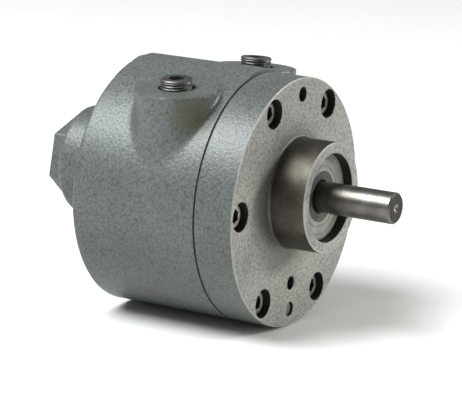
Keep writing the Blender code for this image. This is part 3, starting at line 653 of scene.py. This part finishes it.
def casting_distance(points):
    forward = (1.0, 0.0, 0.0)
    axis_point = (0.0, 0.0, BODY_AXIS_Z)
    solid = cylinder_distance(
        points, axis_point, forward, BODY_RADIUS, BODY_BACK, BODY_FRONT + SUNK, CAST_EDGE
    )
    boss = cylinder_distance(
        points, (0.0,) * 3, forward, REAR_BOSS_RADIUS, REAR_BOSS_BACK, BORE_FLOOR, REAR_BOSS_EDGE
    )
    solid = blended(solid, boss, BARREL_FILLET)
    solid = blended(solid, rib_distance(points), RIB_FILLET)
    for side in (-1.0, 1.0):
        face = port_frame(side).translation
        boss = cylinder_distance(
            points, face, port_axis(side), PORT_BOSS_RADIUS, -PORT_BOSS_HEIGHT, 0.0, BOSS_EDGE
        )
        solid = blended(solid, boss, BOSS_FILLET)
    return solid


def drawn_to(obj, distance, rounds=6, step=0.00005):
    """Moves the mesh's points onto the surface where the distance is zero."""
    mesh = obj.data
    flat = np.empty(len(mesh.vertices) * 3)
    mesh.vertices.foreach_get("co", flat)
    points = flat.reshape(-1, 3)
    for _ in range(rounds):
        here = distance(points)
        slope = np.empty_like(points)
        for axis in range(3):
            nudge = np.zeros(3)
            nudge[axis] = step
            slope[:, axis] = (distance(points + nudge) - distance(points - nudge)) / (2.0 * step)
        size = np.maximum((slope**2).sum(1), 0.25)
        points = points - (here / size)[:, None] * slope
    mesh.vertices.foreach_set("co", points.ravel())
    mesh.update()
    return obj


def remeshed(obj, voxel):
    modifier = obj.modifiers.new("remesh", "REMESH")
    modifier.mode = "VOXEL"
    modifier.voxel_size = voxel
    return applied(obj)


def hole(name, radius, top, bottom, matrix, chamfer=MOUTH_CHAMFER, sides=SMALL_SIDES):
    """A cutter for a round hole whose mouth is at height 0 of its frame, with a chamfered mouth."""
    profile = [(0.0, top), (radius + chamfer + top, top), (radius, -chamfer)]
    profile += [(radius, bottom), (0.0, bottom)]
    return turned(name, profile, sides, matrix)


def casting():
    barrel = turned(
        "casting_shell", disc(BODY_RADIUS, BODY_FRONT + SUNK, BODY_BACK), FINE_SIDES, ABOUT_BODY
    )
    boss = turned(
        "boss", disc(REAR_BOSS_RADIUS, BODY_BACK + SUNK, REAR_BOSS_BACK), ROUND_SIDES, ABOUT_SHAFT
    )
    shape = disc(PORT_BOSS_RADIUS, 0.0, -PORT_BOSS_HEIGHT)
    ports = [turned("port", shape, ROUND_SIDES, port_frame(side)) for side in (-1.0, 1.0)]
    shell = remeshed(unite(barrel, boss, *ports), VOXEL)
    shell = drawn_to(shell, casting_distance)
    excess = disc(2.0 * BODY_RADIUS, BODY_FRONT + 2.0 * SUNK, BODY_FRONT)
    front = turned("front", excess, SMALL_SIDES, ABOUT_BODY)
    bore = turned("bore", disc(BORE_RADIUS, BODY_FRONT + PAST, BORE_FLOOR), FINE_SIDES, ABOUT_BODY)
    rear = [
        (0.0, BORE_FLOOR + PAST),
        (SHAFT_CLEARANCE_RADIUS, BORE_FLOOR + PAST),
        (SHAFT_CLEARANCE_RADIUS, REAR_SEAT_FLOOR),
        (REAR_SEAT_RADIUS, REAR_SEAT_FLOOR),
        (REAR_SEAT_RADIUS, REAR_BOSS_BACK - PAST),
        (0.0, REAR_BOSS_BACK - PAST),
    ]
    cutters = [front, bore, turned("rear_bore", rear, ROUND_SIDES, ABOUT_SHAFT)]
    mouth = [
        (0.0, PAST),
        (PORT_MOUTH_RADIUS + PAST, PAST),
        (PORT_MOUTH_RADIUS, 0.0),
        (PORT_HOLE_RADIUS, -PORT_MOUTH_DEPTH),
        (PORT_HOLE_RADIUS, -PORT_HOLE_DEPTH),
        (0.0, -PORT_HOLE_DEPTH),
    ]
    cutters += [turned("port_hole", mouth, ROUND_SIDES, port_frame(side)) for side in (-1.0, 1.0)]
    for places, radius, end in (
        (SCREW_PLACES, SCREW_HOLE_RADIUS, SCREW_HOLE_END),
        (PIN_PLACES, PIN_HOLE_RADIUS, PIN_HOLE_END),
    ):
        shape = disc(radius, BODY_FRONT + PAST, end)
        for place in places:
            cutters.append(turned("blind_hole", shape, SMALL_SIDES, along_x(*centre_of(place))))
    shell = smooth(cut(shell, *cutters))
    dress(shell, "casting_paint", "housing", ["body_casting"], PAINT, BORE_PAINTED_SHADE)
    frames = [port_frame(side).inverted() for side in (-1.0, 1.0)]

    # Painted shade: faces inside the bore, the rear seat and the port holes get the near-black
    # second material.
    def inside(point, normal):
        within_bore = math.hypot(point.y, point.z - BODY_AXIS_Z) < BORE_RADIUS + CLOSE
        if within_bore and BORE_FLOOR - CLOSE < point.x < BODY_FRONT - CLOSE:
            return True
        if math.hypot(point.y, point.z) < REAR_SEAT_RADIUS + CLOSE:
            return True
        for local in (port @ point for port in frames):
            within_mouth = math.hypot(local.x, local.y) < PORT_MOUTH_RADIUS + NEAR
            if within_mouth and -PORT_HOLE_DEPTH < local.z < NEAR:
                return True
        return False

    paint_faces(shell, 1, inside)
    return shell


# ---- The drive end plate


def end_plate():
    chamfer = PLATE_CHAMFER
    rim = [(0.0, 0.0), (BODY_RADIUS - chamfer, 0.0)]
    rim += list(arc((BODY_RADIUS - chamfer, -chamfer), chamfer, 90.0, 0.0, 3))[1:]
    rim += [(BODY_RADIUS, PLATE_BACK + chamfer / 2.0), (BODY_RADIUS - chamfer / 2.0, PLATE_BACK)]
    rim.append((0.0, PLATE_BACK))
    plate = turned("end_plate", rim, FINE_SIDES, ABOUT_BODY)
    edge = HUB_CHAMFER
    hub = [(0.0, HUB_FACE), (HUB_RADIUS - edge, HUB_FACE)]
    hub += list(arc((HUB_RADIUS - edge, HUB_FACE - edge), edge, 90.0, 0.0, 3))[1:]
    hub += list(arc((HUB_RADIUS + HUB_COVE, HUB_COVE), HUB_COVE, 180.0, 270.0, 5))
    hub += [(HUB_RADIUS + HUB_COVE, -SUNK), (0.0, -SUNK)]
    plate = unite(plate, turned("hub", hub, FINE_SIDES, ABOUT_SHAFT))
    bore = [
        (0.0, HUB_FACE + PAST),
        (RECESS_RADIUS + PAST + edge, HUB_FACE + PAST),
        (RECESS_RADIUS, HUB_FACE - edge),
        (RECESS_RADIUS, RECESS_FLOOR),
        (FRONT_SEAT_RADIUS, RECESS_FLOOR),
        (FRONT_SEAT_RADIUS, FRONT_SEAT_FLOOR),
        (SHAFT_CLEARANCE_RADIUS, FRONT_SEAT_FLOOR),
        (SHAFT_CLEARANCE_RADIUS, PLATE_BACK - PAST),
        (0.0, PLATE_BACK - PAST),
    ]
    cutters = [turned("front_bore", bore, ROUND_SIDES, ABOUT_SHAFT)]
    sink = [
        (0.0, PAST),
        (COUNTERBORE_RADIUS + PAST + SINK_CHAMFER, PAST),
        (COUNTERBORE_RADIUS, -SINK_CHAMFER),
        (COUNTERBORE_RADIUS, COUNTERBORE_FLOOR),
        (SCREW_HOLE_RADIUS, COUNTERBORE_FLOOR),
        (SCREW_HOLE_RADIUS, PLATE_BACK - PAST),
        (0.0, PLATE_BACK - PAST),
    ]
    for place in SCREW_PLACES:
        cutters.append(turned("sink", sink, SMALL_SIDES, along_x(*centre_of(place))))
    for place in PIN_PLACES:
        spot = along_x(*centre_of(place))
        back = PLATE_BACK - PAST
        cutters.append(hole("pin_hole", PIN_HOLE_RADIUS, PAST, back, spot, SINK_CHAMFER))
    spot = along_x(*tapped_hole_centre())
    cutters.append(hole("tapped_hole", TAPPED_HOLE_RADIUS, PAST, -TAPPED_HOLE_DEPTH, spot))
    plate = smooth(cut(plate, *cutters))
    materials = (PAINT, FACE_PAINT, HUB_STEEL, BORE_PAINTED_SHADE, WORN_EDGE)
    dress(plate, "casting_paint", "housing", ["drive_end_plate"], *materials)
    sinks = [(centre_of(place), COUNTERBORE_RADIUS) for place in SCREW_PLACES]
    sinks += [(centre_of(place), PIN_HOLE_RADIUS) for place in PIN_PLACES]
    sinks.append((tapped_hole_centre(), TAPPED_HOLE_RADIUS))

    def on_face(point, normal):
        return normal.x > 0.5 and point.x > -2.0 * PLATE_CHAMFER

    def hub_side(point, normal):
        gap = abs(math.hypot(point.y, point.z) - HUB_RADIUS)
        return CLOSE < point.x < HUB_FACE - HUB_CHAMFER and gap < HUB_COVE

    # Painted shade: faces inside the hub's recess, the counterbores, the pin holes and the tapped
    # hole get the near-black material.
    def in_a_hole(point, normal):
        if point.x > HUB_FACE - HUB_CHAMFER:
            return False
        if math.hypot(point.y, point.z) < RECESS_RADIUS + NEAR:
            return True
        for (y, z), radius in sinks:
            if math.hypot(point.y - y, point.z - z) < radius + NEAR and point.x < -NEAR:
                return True
        return False

    def worn(point, normal):
        flat = math.hypot(point.y, point.z - BODY_AXIS_Z)
        around = math.hypot(point.y, point.z)
        slope = abs(normal.x)
        rim = flat > BODY_RADIUS - PLATE_CHAMFER and 0.1 < slope < 0.98
        hub_rim = point.x > HUB_FACE - HUB_CHAMFER and around > RECESS_RADIUS
        return rim or (hub_rim and slope < 0.98)

    paint_faces(plate, 1, on_face)
    paint_faces(plate, 2, hub_side)
    paint_faces(plate, 3, in_a_hole)
    paint_faces(plate, 4, worn)
    return plate


# ---- Screws, pins and plugs


def knurled(obj, low, high, radius):
    """Fine straight grooves round a screw head's side."""
    for vertex in obj.data.vertices:
        x, y, z = vertex.co
        if low < z < high and math.hypot(x, y) > radius - NEAR:
            wave = 0.5 - 0.5 * math.cos(KNURL_COUNT * math.atan2(y, x))
            shrink = 1.0 - KNURL_DEPTH * wave / radius
            vertex.co = (x * shrink, y * shrink, z)
    return obj


def socket_screw():
    head, edge, tip = SCREW_HEAD_RADIUS, SCREW_EDGE, SCREW_TIP_CHAMFER
    bottom = -SCREW_HEAD_HEIGHT
    end = -(SCREW_PLACES[0][1].x - SCREW_PLACES[0][0].x)
    profile = [(0.0, 0.0), (head - edge, 0.0)]
    profile += list(arc((head - edge, -edge), edge, 90.0, 0.0, 3))[1:]
    profile += [(head, -2.0 * edge), (head, bottom + 2.0 * KNURL_MARGIN)]
    profile += [(head, bottom + HEAD_UNDERCUT), (head - HEAD_UNDERCUT, bottom)]
    profile += [(SCREW_RADIUS, bottom), (SCREW_RADIUS, end + tip)]
    profile += [(SCREW_RADIUS - tip, end), (0.0, end)]
    screw = turned("screw", profile, 6 * KNURL_COUNT)
    knurled(screw, bottom + KNURL_MARGIN, -1.5 * edge, head)
    key = prism("key", 6, SCREW_KEY_RADIUS, -SCREW_KEY_DEPTH, PAST)
    lead = SCREW_KEY_CHAMFER
    funnel = [(0.0, PAST), (SCREW_KEY_RADIUS + PAST, PAST)]
    funnel += [(SCREW_KEY_RADIUS - lead, -lead), (0.0, -lead)]
    funnel = turned("funnel", funnel, SMALL_SIDES)
    point = turned("point", SCREW_DRILL_POINT, SMALL_SIDES)
    return smooth(cut(screw, key, funnel, point)).data


def cover_screws():
    mesh = socket_screw()
    mesh.materials.clear()
    mesh.materials.append(SCREW_STEEL)
    mesh.materials.append(BORE_PAINTED_SHADE)
    # Painted shade: the walls and floor of each hex socket get the near-black material.
    for face in mesh.polygons:
        across = math.hypot(face.center.x, face.center.y)
        if across < SCREW_KEY_RADIUS and face.center.z < -2.0 * SCREW_KEY_CHAMFER:
            face.material_index = 1
    for number, place in enumerate(SCREW_PLACES, start=1):
        seat = along_x(*centre_of(place), place[1].x)
        turn = Matrix.Rotation(SCREW_TURN * number, 4, "Z")
        screw = mesh_object(f"socket_screw_{number}", mesh, seat @ turn)
        dress(screw, "dark_steel", "housing", [f"cover_screw_{number}"])
    bpy.data.objects.remove(bpy.data.objects["screw"], do_unlink=True)


def dowels():
    edge = PIN_EDGE
    for number, (low, high) in enumerate(PIN_PLACES, start=1):
        radius = (high.y - low.y) / 2.0
        length = high.x - low.x
        profile = [(0.0, 0.0), (radius - edge, 0.0)]
        profile += list(arc((radius - edge, -edge), edge, 90.0, 0.0, 4))[1:]
        profile += list(arc((radius - edge, edge - length), edge, 0.0, -90.0, 4))
        profile.append((0.0, -length))
        seat = along_x(*centre_of((low, high)), high.x)
        pin = smooth(turned(f"ground_pin_{number}", profile, SMALL_SIDES, seat))
        dress(pin, "dark_steel", "housing", [f"dowel_pin_{number}"], PIN_STEEL)


def threaded_plug(name, node, side):
    """A pipe plug: a helical thread round its side, a chamfered top and a hex socket."""
    low, high = -PLUG_DEPTH, PLUG_PROUD - PLUG_CHAMFER
    bm = bmesh.new()

    def ring(height, cut_at):
        """A ring of points at one height. cut_at gives the thread's depth at a part of a turn."""
        points = []
        for step in range(ROUND_SIDES):
            radius = PLUG_RADIUS - cut_at(step / ROUND_SIDES)
            angle = 2.0 * math.pi * step / ROUND_SIDES
            x, y = radius * math.cos(angle), radius * math.sin(angle)
            points.append(bm.verts.new((x, y, height)))
        return points

    rings = []
    for level in range(THREAD_LEVELS + 1):
        height = low + (high - low) * level / THREAD_LEVELS
        fade = min(1.0, level / THREAD_RUNOUT, (THREAD_LEVELS - level) / THREAD_RUNOUT)

        def thread(part):
            phase = (height / PIPE_THREAD_PITCH - part) % 1.0
            return PIPE_THREAD_DEPTH * fade * abs(2.0 * phase - 1.0)

        rings.append(ring(height, thread))
    rings.append(ring(PLUG_PROUD, lambda part: PLUG_CHAMFER))
    for lower, upper in zip(rings, rings[1:]):
        for step in range(ROUND_SIDES):
            after = (step + 1) % ROUND_SIDES
            bm.faces.new((lower[step], lower[after], upper[after], upper[step]))
    bm.faces.new(rings[-1])
    bm.faces.new(list(reversed(rings[0])))
    mesh = bpy.data.meshes.new(name)
    bm.to_mesh(mesh)
    bm.free()
    place = port_frame(side)
    plug = applied(mesh_object(name, mesh, place))
    bottom = PLUG_PROUD - PLUG_KEY_DEPTH
    key = prism("key", 6, PLUG_KEY_RADIUS, bottom, PLUG_PROUD + PAST, place, PLUG_KEY_TURN)
    plug = smooth(cut(plug, key), 40.0)
    return dress(plug, "plug_zinc", "housing", [node], PLUG_STEEL)


# ---- Shaft, seal, cap and gaskets


def drive_shaft():
    tip, edge = shaft_high.x, SHAFT_CHAMFER
    groove_front, groove_back = RING_GROOVE
    profile = [(0.0, tip - CENTRE_DRILL_DEPTH), (CENTRE_DRILL_RADIUS, tip - CENTRE_CONE_DEPTH)]
    profile += [(CENTRE_MOUTH_RADIUS, tip), (OUTPUT_RADIUS - edge, tip)]
    profile += [(OUTPUT_RADIUS, tip - edge), (OUTPUT_RADIUS, SEAT_START + SEAT_TAPER)]
    profile.append((SEAT_RADIUS, SEAT_START))
    profile += [(SEAT_RADIUS, FRONT_SEAT_FLOOR), (SHOULDER_RADIUS, FRONT_SEAT_FLOOR)]
    profile += [(SHOULDER_RADIUS, REAR_SEAT_FLOOR), (SEAT_RADIUS, REAR_SEAT_FLOOR)]
    profile += [(SEAT_RADIUS, groove_front), (RING_GROOVE_RADIUS, groove_front)]
    profile += [(RING_GROOVE_RADIUS, groove_back), (SEAT_RADIUS, groove_back)]
    profile += [(SEAT_RADIUS, shaft_low.x + SEAT_TAPER), (SEAT_RADIUS - SEAT_TAPER, shaft_low.x)]
    profile.append((0.0, shaft_low.x))
    bar = turned("drive_shaft", profile, ROUND_SIDES, ABOUT_SHAFT)
    low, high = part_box("rotor_key")
    gap = Vector((KEYWAY_GAP,) * 3)
    bar = smooth(cut(bar, block("keyway", low - gap, high + gap)))
    dress(bar, "shaft_steel", "rotor_shaft", ["shaft"], SHAFT_STEEL, SHAFT_END_STEEL)
    paint_faces(bar, 1, lambda point, normal: point.x > tip - PAST and normal.x > 0.9)
    return bar


def seal():
    front, back = seal_high.x, seal_low.x
    outer = (seal_high.y - seal_low.y) / 2.0
    inner = outer - SEAL_WALL
    web = front - SEAL_WEB_DEPTH
    web_back = web - SEAL_WEB_THICKNESS
    profile = list(arc((outer - SEAL_EDGE, front - SEAL_EDGE), SEAL_EDGE, 90.0, 0.0, 3))
    profile += [(outer, back), (inner, back), (inner, web_back)]
    profile += [(SEAL_WEB_INNER, web_back), (SEAL_WEB_INNER, web)]
    profile += [(radius, web + rise) for radius, rise in SEAL_BEAD]
    profile += [(outer - SEAL_RIM - SEAL_WEB_DEPTH, web), (outer - SEAL_RIM, front)]
    case = smooth(turned("seal_shell", profile, ROUND_SIDES, ABOUT_SHAFT, closed=True))
    dress(case, "seal_steel", "housing", ["seal_case"], SEAL_STEEL)
    profile = [(LIP_OUTER, web), (LIP_OUTER, web_back)]
    profile += [(radius, front - LIP_BACK) for radius in LIP_NECK]
    profile += [(OUTPUT_RADIUS + gap, front - depth) for gap, depth in LIP_MOUTH]
    profile.append((OUTPUT_RADIUS + LIP_FACE_GAP, web))
    profile += [(radius, web + rise) for radius, rise in LIP_FACE]
    lip = smooth(turned("seal_rubber_lip", profile, ROUND_SIDES, ABOUT_SHAFT, closed=True))
    dress(lip, "seal_rubber", "housing", ["seal_lip"], SEAL_RUBBER)


def rounded_hexagon(radius, corner, steps=6):
    """Points (x, y) round a hexagon with rounded corners."""
    reach = radius - corner / math.cos(math.radians(30.0))
    for side in range(6):
        middle = 60.0 * side
        centre = (reach * math.cos(math.radians(middle)), reach * math.sin(math.radians(middle)))
        yield from arc(centre, corner, middle - 30.0, middle + 30.0, steps)


def rear_cap():
    outline = list(rounded_hexagon(CAP_HEX_RADIUS, CAP_CORNER))
    bm = bmesh.new()
    base = bm.faces.new([bm.verts.new((x, y, cap_low.x)) for x, y in outline])
    raised = bmesh.ops.extrude_face_region(bm, geom=[base])
    lifted = [item for item in raised["geom"] if isinstance(item, bmesh.types.BMVert)]
    bmesh.ops.translate(bm, vec=(0.0, 0.0, CAP_HEX_FRONT - cap_low.x), verts=lifted)
    bmesh.ops.rotate(bm, matrix=Matrix.Rotation(CAP_HEX_ANGLE, 3, "Z"), verts=bm.verts)
    bmesh.ops.recalc_face_normals(bm, faces=bm.faces)
    mesh = bpy.data.meshes.new("cap_shell")
    bm.to_mesh(mesh)
    bm.free()
    cap = mesh_object("cap_shell", mesh, ABOUT_SHAFT)
    cap = bevelled(applied(cap), CAP_EDGE, 4, 60.0)
    front, sunk = CAP_COLLAR_FRONT, CAP_HEX_FRONT - CAP_OVERLAP
    collar = [(0.0, front), (CAP_COLLAR_RADIUS - COLLAR_EDGE, front)]
    collar += [(CAP_COLLAR_RADIUS, front - COLLAR_EDGE), (CAP_COLLAR_RADIUS, sunk), (0.0, sunk)]
    nose = disc(CAP_NOSE_RADIUS, cap_high.x, front - CAP_OVERLAP / 2.0)
    cap = unite(cap, turned("collar", collar, ROUND_SIDES, ABOUT_SHAFT))
    cap = unite(cap, turned("nose", nose, ROUND_SIDES, ABOUT_SHAFT))
    well = disc(CAP_NOSE_BORE, cap_high.x + PAST, CAP_FLOOR)
    cap = smooth(cut(cap, turned("well", well, ROUND_SIDES, ABOUT_SHAFT)))
    return dress(cap, "casting_paint", "housing", ["bearing_cap"], PAINT)


def flat_ring(name, node, inner, sides, matrix):
    """A washer as thick and as wide as the node's box."""
    low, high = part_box(node)
    outer = (high.y - low.y) / 2.0
    shape = [(outer, high.x), (outer, low.x), (inner, low.x), (inner, high.x)]
    return turned(name, shape, sides, matrix, closed=True)


def gaskets():
    sheet = flat_ring(
        "joint_gasket", "plate_gasket", BORE_RADIUS + GASKET_INSET, FINE_SIDES, ABOUT_BODY
    )
    low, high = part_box("plate_gasket")
    holes = []
    for places, radius in ((SCREW_PLACES, SCREW_HOLE_RADIUS), (PIN_PLACES, PIN_HOLE_RADIUS)):
        shape = disc(radius, high.x + PAST, low.x - PAST)
        for place in places:
            holes.append(turned("gasket_hole", shape, SMALL_SIDES, along_x(*centre_of(place))))
    sheet = smooth(cut(sheet, *holes))
    dress(sheet, "gasket_fibre", "housing", ["plate_gasket"], GASKET)
    washer = flat_ring(
        "cap_washer", "cap_gasket", CAP_NOSE_RADIUS + GASKET_GAP, ROUND_SIDES, ABOUT_SHAFT
    )
    dress(smooth(washer), "gasket_fibre", "housing", ["cap_gasket"], GASKET)


def inner_pieces():
    """The frame's own solids that stay: what lies inside the castings."""
    for name, node in frame["nodes"].items():
        if node.hide_render:
            continue
        if "cage" in name:
            material = CAGE_BRASS
        elif "bearing_ring" in name or "shaft_ring" in name or name == "rotor_key":
            material = DARK_STEEL
        elif "bearing" in name or "spring" in name:
            material = BEARING_STEEL
        elif "vane" in name:
            material = VANE_RESIN
        else:
            material = ROTOR_IRON
        node.data.materials.clear()
        node.data.materials.append(material)


# ---- Floor, lights and camera


CAMERA_AZIMUTH = math.radians(30.78)
CAMERA_ELEVATION = math.radians(15.81)
CAMERA_DISTANCE = 20.0 * BODY_RADIUS
CAMERA_LENS = 197.0
CAMERA_TWIST = math.radians(0.3)
AIM_LEFT = 0.515 * BODY_RADIUS
AIM_DOWN = 0.0140 * BODY_RADIUS
CAMERA_NEAR = 0.05
MOTOR_ROLL = math.radians(2.85)
LIGHT_TARGET = (-0.03, 0.0, 0.0)
SKY_STRENGTH = 0.28
FLOOR_REACH = 30.0
LIGHTS = {
    "overhead_softbox": {
        "direction": (-0.38, -0.45, 0.80),
        "distance": 2.4,
        "size": 1.5,
        "power": 100.0,
        "colour": (0.95, 0.97, 1.0),
    },
    "front_softbox": {
        "direction": (0.66, 0.60, 0.34),
        "distance": 2.4,
        "size": 0.50,
        "power": 42.0,
        "colour": (1.0, 0.98, 0.94),
    },
    "low_card": {
        "direction": (0.87, 0.39, -0.28),
        "distance": 0.155,
        "size": 0.05,
        "power": 0.085,
        "colour": (1.0, 0.99, 0.96),
    },
}


def aim(obj, target):
    obj.rotation_euler = (Vector(target) - obj.location).to_track_quat("-Z", "Y").to_euler()


def soft_light(name, direction, distance, size, power, colour):
    light = bpy.data.lights.new(name, "AREA")
    light.shape = "DISK"
    light.size = size
    light.energy = power
    light.color = colour
    obj = bpy.data.objects.new(name, light)
    bpy.context.scene.collection.objects.link(obj)
    obj.location = Vector(direction).normalized() * distance
    obj.visible_camera = False
    aim(obj, LIGHT_TARGET)


def studio():
    mesh = bpy.data.meshes.new("floor")
    bm = bmesh.new()
    bmesh.ops.create_grid(bm, x_segments=2, y_segments=2, size=FLOOR_REACH)
    bmesh.ops.translate(bm, vec=(0.0, 0.0, cad_low.z - FLOOR_GAP), verts=bm.verts)
    bm.to_mesh(mesh)
    bm.free()
    mesh.materials.append(floor_finish("pale_floor"))
    mesh_object("floor", mesh)
    world = bpy.data.worlds.new("studio")
    world.use_nodes = True
    background = world.node_tree.nodes["Background"]
    background.inputs["Color"].default_value = (1.0, 1.0, 1.0, 1.0)
    background.inputs["Strength"].default_value = SKY_STRENGTH
    bpy.context.scene.world = world
    for name, light in LIGHTS.items():
        soft_light(name, **light)
    bpy.context.scene.view_settings.view_transform = "Standard"


def camera():
    azimuth, elevation = CAMERA_AZIMUTH, CAMERA_ELEVATION
    back = Vector(
        (
            math.sin(azimuth) * math.cos(elevation),
            -math.cos(azimuth) * math.cos(elevation),
            math.sin(elevation),
        )
    )
    right = Vector((math.cos(azimuth), math.sin(azimuth), 0.0))
    up = back.cross(right)
    matrix = Matrix((right, up, back)).transposed().to_4x4() @ Matrix.Rotation(CAMERA_TWIST, 4, "Z")
    matrix.translation = back * CAMERA_DISTANCE - right * AIM_LEFT - up * AIM_DOWN
    data = bpy.data.cameras.new("camera")
    data.lens = CAMERA_LENS
    data.clip_start = CAMERA_NEAR
    obj = bpy.data.objects.new("camera", data)
    bpy.context.scene.collection.objects.link(obj)
    place = Matrix.Translation((0.0, 0.0, BODY_AXIS_Z)) @ Matrix.Rotation(MOTOR_ROLL, 4, "X")
    obj.matrix_world = place @ matrix
    bpy.context.scene.camera = obj


camera()
studio()
casting()
end_plate()
cover_screws()
dowels()
threaded_plug("port_plug_near", "port_plug_a", -1.0)
threaded_plug("port_plug_far", "port_plug_b", 1.0)
drive_shaft()
seal()
rear_cap()
gaskets()
inner_pieces()
